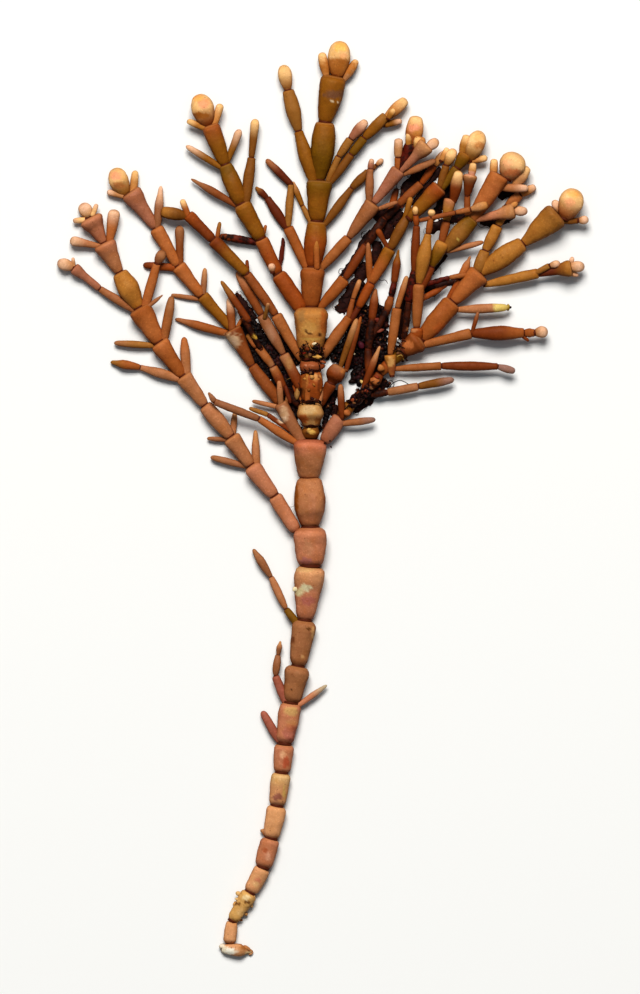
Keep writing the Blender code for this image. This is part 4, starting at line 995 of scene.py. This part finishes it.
# Patches of another colour, as (x, y, half width, half height, colour), per branch.
PATCHES = {
    "left_high_branch": [
        (203.5, 104, 7, 6, (226, 156, 112)), (200, 116, 12, 4, (172, 106, 44)),
        (198, 98, 7, 4, (236, 172, 98)),
    ],
    "right_high_branch": [
        (414, 128, 7, 5, (222, 146, 108)), (419, 134, 8, 4, (196, 134, 70)),
    ],
    "right_mid_branch": [
        (480, 146, 8, 4, (196, 134, 76)), (478, 137, 5, 5, (232, 176, 112)),
    ],
    "main_stem": [
        (306, 587.5, 7, 4, (212, 198, 158)), (299, 592, 6.5, 4.5, (206, 188, 142)),
        (304, 569.5, 14, 3, (200, 158, 108)), (306, 561, 7, 4, (176, 116, 110)),
        (308, 601, 8, 6, (172, 104, 88)), (308.5, 629, 2.6, 2, (104, 62, 26)),
        (293, 640, 2.5, 4, (116, 66, 34)), (313, 633, 1.8, 8, (196, 150, 96)),
        (303, 657, 2, 2, (196, 150, 104)), (332, 446, 4, 4, (70, 36, 10)),
        (277.5, 797, 5.5, 4, (150, 96, 76)), (276, 803, 5, 2.6, (190, 138, 104)),
        # the pale patch at (283, 755) is a painted highlight
        (284, 792, 2, 6, (196, 160, 96)), (283, 755, 4, 5, (212, 160, 120)),
        (294, 734, 7, 10, (158, 90, 68)), (286, 762, 4, 7, (180, 92, 60)),
        (291, 711, 8, 5.5, (198, 154, 98)), (292, 722, 7, 3, (190, 134, 92)),
        (288, 733, 6, 7, (176, 108, 86)), (292, 690, 1.2, 1.2, (60, 30, 12)),
        (238, 903.5, 4, 1.8, (112, 70, 26)), (247, 902, 4, 1.5, (112, 68, 28)),
        (246, 897, 5, 3, (232, 204, 156)), (241, 912, 5, 4, (214, 172, 114)),
        (258, 880, 4, 3, (200, 130, 96)), (256, 884, 4, 3, (214, 168, 118)),
        (229, 951, 9, 4, (240, 232, 212)), (223, 948, 4, 5, (226, 214, 186)),
        (246, 947, 8, 3, (172, 112, 60)), (248, 953, 4, 2, (206, 176, 132)),
        (268, 856, 3, 5, (206, 150, 118)), (265, 850, 3, 3, (170, 96, 60)),
        (308, 547, 6, 8, (186, 128, 92)), (312, 507, 4, 16, (180, 120, 84)),
        (296, 500, 2.6, 22, (150, 84, 16)), (326, 505, 2.6, 20, (150, 84, 34)),
    ],
    "left_mid_branch": [
        (284, 414, 6, 8, (188, 150, 116)), (282, 420, 4, 4, (206, 176, 146)),
        (231, 341.5, 12, 9.5, (182, 146, 112)), (231, 341, 8, 7, (190, 158, 126)),
        (116, 176, 7, 5, (230, 160, 120)), (119, 186, 8, 4, (184, 122, 70)),
    ],
    "main_axis": [
        (341, 47, 9, 6, (240, 182, 102)), (344, 56, 5, 3, (236, 176, 122)),
        (339, 67, 22, 10, (180, 114, 50)), (309, 328, 9, 8, (196, 146, 80)),
        (306, 331.5, 2.4, 1.8, (76, 38, 14)), (319.5, 335, 2.4, 1.8, (70, 32, 12)),
        (323.5, 322, 4, 14, (176, 102, 46)), (311, 339.5, 10, 1.6, (200, 158, 84)),
        (302, 316, 4, 8, (168, 122, 70)), (310, 334, 3, 1.6, (84, 44, 16)),
        (309, 410, 9, 5, (190, 156, 108)), (303, 419, 6, 5, (172, 96, 44)),
        (318, 421, 4, 4, (160, 104, 50)), (311, 432, 5, 3, (196, 156, 80)),
        (307, 433, 2, 2, (80, 44, 16)), (316, 377, 6, 4, (192, 138, 78)),
        (304, 385, 3, 12, (132, 74, 28)), (299, 392, 4, 6, (60, 28, 10)),
        (289, 363, 4, 7, (164, 116, 70)), (319, 383, 2, 10, (112, 54, 18)),
        (270, 335, 6, 12, (158, 112, 82)), (258, 336, 6, 3, (196, 158, 66)),
        (254, 340, 2, 2, (60, 30, 12)), (334, 95, 12, 5, (120, 80, 52)),
        (332, 102, 1.4, 1.2, (226, 206, 170)), (338, 103, 1.2, 1.2, (226, 206, 170)),
        (272, 364, 4, 8, (156, 106, 70)), (344, 372, 4, 3, (186, 118, 64)),
    ],
    "right_low_branch": [
        (569, 203, 6, 5, (224, 158, 110)), (573, 194, 7, 4, (236, 176, 104)),
        (512, 173, 10, 4, (208, 128, 78)), (507, 164, 6, 6, (234, 172, 122)),
        (391, 362, 4, 6, (204, 154, 92)), (502, 308, 11, 10, (212, 186, 108)),
        (394, 370, 3, 5, (150, 86, 46)), (409, 345, 6, 5, (186, 112, 62)),
        (411, 330.5, 6, 3, (178, 118, 74)), (471, 174, 7, 3, (216, 158, 128)),
        (458, 240, 1.6, 1.2, (204, 172, 90)), (440, 328, 8, 6, (172, 92, 40)),
    ],
}


# looks

# how much darker a face that does not look up is painted: painted shade on the flanks of the segments
FLANK_SHADE = 0.68

KEY_POWER = 4.2
ABOVE_POWER = 5.0
ROOM_LIGHT = 0.05

# the floor's half width and how far it lies under the frond, in metres
FLOOR_REACH = 0.6
FLOOR_DROP = 0.00001

# the camera's height in metres, its sensor in millimetres, and its view in pixels
CAMERA_HEIGHT = 0.9
SENSOR_HEIGHT = 24.0
PICTURE_WIDE = 640
PICTURE_TALL = 994


def add_node(tree, kind, place, **settings):
    """A shader node with its settings."""
    item = tree.nodes.new(kind)
    item.location = place
    for key, value in settings.items():
        setattr(item, key, value)
    return item


def lime_material():
    """Dry lime: a mottled, matte skin with pits, a painted highlight on the rims of cups, dark creases
    that are partly painted shade, and flanks painted darker as shade.
    """
    material = bpy.data.materials.new("dry_lime")
    material.use_nodes = True
    tree = material.node_tree
    link = tree.links.new
    shader = tree.nodes["Principled BSDF"]
    where = add_node(tree, "ShaderNodeTexCoord", (-1800, 0))
    in_pixels = add_node(tree, "ShaderNodeVectorMath", (-1600, 0), operation="SCALE")
    in_pixels.inputs["Scale"].default_value = 1 / PIXEL
    link(where.outputs["Object"], in_pixels.inputs[0])
    pigment = add_node(tree, "ShaderNodeAttribute", (-1600, 400), attribute_name="pigment")
    # the wear attribute: the crease, partly painted shade, in red; a painted rim highlight in green;
    # dirt in blue
    wear_and_painted_light = add_node(tree, "ShaderNodeAttribute", (-1600, 250), attribute_name="wear_and_painted_light")
    wear_and_light_parts = add_node(tree, "ShaderNodeSeparateColor", (-1400, 250))
    link(wear_and_painted_light.outputs["Color"], wear_and_light_parts.inputs["Color"])

    def grain(size, detail, roughness, place):
        item = add_node(tree, "ShaderNodeTexNoise", place)
        item.inputs["Scale"].default_value = 1 / size
        item.inputs["Detail"].default_value = detail
        item.inputs["Roughness"].default_value = roughness
        link(in_pixels.outputs[0], item.inputs["Vector"])
        return item

    def ramp(source, low, high, low_value, high_value, place):
        item = add_node(tree, "ShaderNodeMapRange", place)
        item.inputs["From Min"].default_value = low
        item.inputs["From Max"].default_value = high
        item.inputs["To Min"].default_value = low_value
        item.inputs["To Max"].default_value = high_value
        link(source, item.inputs["Value"])
        return item.outputs["Result"]

    def mix(factor, a, b, place, blend="MIX"):
        item = add_node(tree, "ShaderNodeMix", place, data_type="RGBA", blend_type=blend)
        for socket, value in ((item.inputs[0], factor), (item.inputs[6], a), (item.inputs[7], b)):
            if isinstance(value, bpy.types.NodeSocket):
                link(value, socket)
            else:
                socket.default_value = value
        return item.outputs[2]

    # painted shade: faces that do not look up are painted darker and browner
    facing = add_node(tree, "ShaderNodeNewGeometry", (-1400, 600))
    upright = add_node(tree, "ShaderNodeSeparateXYZ", (-1200, 600))
    link(facing.outputs["Normal"], upright.inputs[0])
    flank_painted_shade = ramp(upright.outputs["Z"], 0.1, 0.74, FLANK_SHADE, 0, (-1000, 600))
    broad = grain(11, 4, 0.6, (-1400, 0))
    patch = grain(5.5, 3, 0.6, (-1400, -200))
    speck = grain(1.9, 2, 0.6, (-1400, -400))
    pits = grain(2.6, 1, 0.5, (-1400, -600))
    bloom = mix(ramp(broad.outputs["Fac"], 0.5, 0.66, 0, 1, (-1200, 100)), pigment.outputs["Color"],
                (1.08, 1.06, 1.14, 1), (-1100, 300), "MULTIPLY")
    tan = mix(ramp(broad.outputs["Fac"], 0.48, 0.34, 0, 1, (-1200, 0)), bloom,
              (0.94, 0.86, 0.72, 1), (-1000, 300), "MULTIPLY")
    dull = mix(ramp(patch.outputs["Fac"], 0.46, 0.66, 0, 0.8, (-1200, -200)), tan,
               (0.82, 0.77, 0.68, 1), (-800, 300), "MULTIPLY")
    bright = mix(ramp(speck.outputs["Fac"], 0.54, 0.72, 0, 0.8, (-1200, -400)), dull,
                 (1.32, 1.32, 1.42, 1), (-600, 300), "MULTIPLY")
    pitted = mix(ramp(pits.outputs["Fac"], 0.70, 0.78, 0, 0.5, (-1200, -600)), bright,
                 (*linear((96, 40, 14)), 1), (-400, 300))
    # painted highlight along the top rims of wide segments
    rim_highlighted = mix(ramp(wear_and_light_parts.outputs["Green"], 0.2, 1.0, 0, 0.34, (-800, 0)), pitted,
                 (*linear((214, 156, 100)), 1), (-200, 300))
    # the crease: the joint's own dark colour, and painted shade at the ends of each segment
    crease_joint_and_shaded = mix(ramp(wear_and_light_parts.outputs["Red"], 0.12, 0.75, 0, 0.88, (-600, 0)), rim_highlighted,
                  (*linear((88, 36, 13)), 1), (0, 300))
    soil = ramp(patch.outputs["Fac"], 0.45, 0.58, 0, 1, (-1000, -300))
    soiled = add_node(tree, "ShaderNodeMath", (-800, -300), operation="MULTIPLY")
    link(soil, soiled.inputs[0])
    link(wear_and_light_parts.outputs["Blue"], soiled.inputs[1])
    dirty = mix(soiled.outputs[0], crease_joint_and_shaded, (*linear((38, 13, 5)), 1), (200, 300))
    shaded = mix(flank_painted_shade, dirty, (0.40, 0.27, 0.14, 1), (350, 300), "MULTIPLY")
    link(shaded, shader.inputs["Base Color"])
    link(ramp(patch.outputs["Fac"], 0.3, 0.7, 0.5, 0.72, (-200, -100)), shader.inputs["Roughness"])
    shader.inputs["Specular IOR Level"].default_value = 0.14
    height = add_node(tree, "ShaderNodeMath", (-800, -500), operation="MULTIPLY_ADD")
    link(speck.outputs["Fac"], height.inputs[0])
    height.inputs[1].default_value = 0.35
    link(patch.outputs["Fac"], height.inputs[2])
    bump = add_node(tree, "ShaderNodeBump", (-200, -400))
    bump.inputs["Strength"].default_value = 0.35
    bump.inputs["Distance"].default_value = 1.2 * PIXEL
    link(height.outputs[0], bump.inputs["Height"])
    link(bump.outputs["Normal"], shader.inputs["Normal"])
    shader.location = (500, 300)
    tree.nodes["Material Output"].location = (800, 300)
    return material


# room


def build_floor():
    """A plain pale floor."""
    mesh = bpy.data.meshes.new("floor")
    reach = FLOOR_REACH
    mesh.from_pydata([(-reach, -reach, 0), (reach, -reach, 0), (reach, reach, 0),
                      (-reach, reach, 0)], [], [(0, 1, 2, 3)])
    floor = bpy.data.objects.new("floor", mesh)
    bpy.context.scene.collection.objects.link(floor)
    floor.location.z = -FLOOR_DROP
    material = bpy.data.materials.new("pale_floor")
    material.use_nodes = True
    shader = material.node_tree.nodes["Principled BSDF"]
    shader.inputs["Base Color"].default_value = (0.86, 0.86, 0.85, 1)
    shader.inputs["Roughness"].default_value = 0.9
    shader.inputs["Specular IOR Level"].default_value = 0.1
    mesh.materials.append(material)


def add_light(name, place, target, width, height, power, colour):
    """A soft box that faces a point."""
    lamp = bpy.data.lights.new(name, "AREA")
    lamp.shape = "RECTANGLE"
    lamp.size = width
    lamp.size_y = height
    lamp.energy = power
    lamp.color = colour
    item = bpy.data.objects.new(name, lamp)
    bpy.context.scene.collection.objects.link(item)
    item.location = place
    item.rotation_euler = (Vector(target) - Vector(place)).to_track_quat("-Z", "Y").to_euler()


def light_room():
    """Soft light from beyond the top of the frond, some from above, and a dim pale room."""
    add_light("key", (-0.03, 0.36, 0.5), (0, 0, 0), 0.34, 0.26, KEY_POWER, (1.0, 0.975, 0.935))
    add_light("above", (0, 0.1, 1.25), (0, 0, 0), 3.0, 3.0, ABOVE_POWER, (0.86, 0.95, 1.0))
    world = bpy.data.worlds.new("room")
    world.use_nodes = True
    back = world.node_tree.nodes["Background"]
    back.inputs["Color"].default_value = (0.72, 0.86, 1.0, 1)
    back.inputs["Strength"].default_value = ROOM_LIGHT
    bpy.context.scene.world = world


def place_camera():
    """Straight above the frond, with a long lens."""
    lens = bpy.data.cameras.new("camera")
    lens.type = "PERSP"
    lens.sensor_fit = "VERTICAL"
    lens.sensor_height = SENSOR_HEIGHT
    lens.lens = SENSOR_HEIGHT * CAMERA_HEIGHT / (PICTURE_TALL * PIXEL)
    lens.clip_start = 0.01
    lens.clip_end = 10.0
    camera = bpy.data.objects.new("camera", lens)
    bpy.context.scene.collection.objects.link(camera)
    x, y, _ = to_world(PICTURE_WIDE / 2, PICTURE_TALL / 2, 0)
    camera.location = (x, y, CAMERA_HEIGHT)
    bpy.context.scene.camera = camera


def main():
    """Build the whole scene."""
    clear_scene()
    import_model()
    bpy.context.scene.view_settings.view_transform = "Standard"
    bpy.context.scene.view_settings.look = "Medium High Contrast"
    lime = lime_material()
    for name, chains in BRANCHES.items():
        branch = build_branch(name, chains)
        branch.data.materials.append(lime)
        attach(branch, "root")
        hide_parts(name)
    build_floor()
    light_room()
    place_camera()


main()
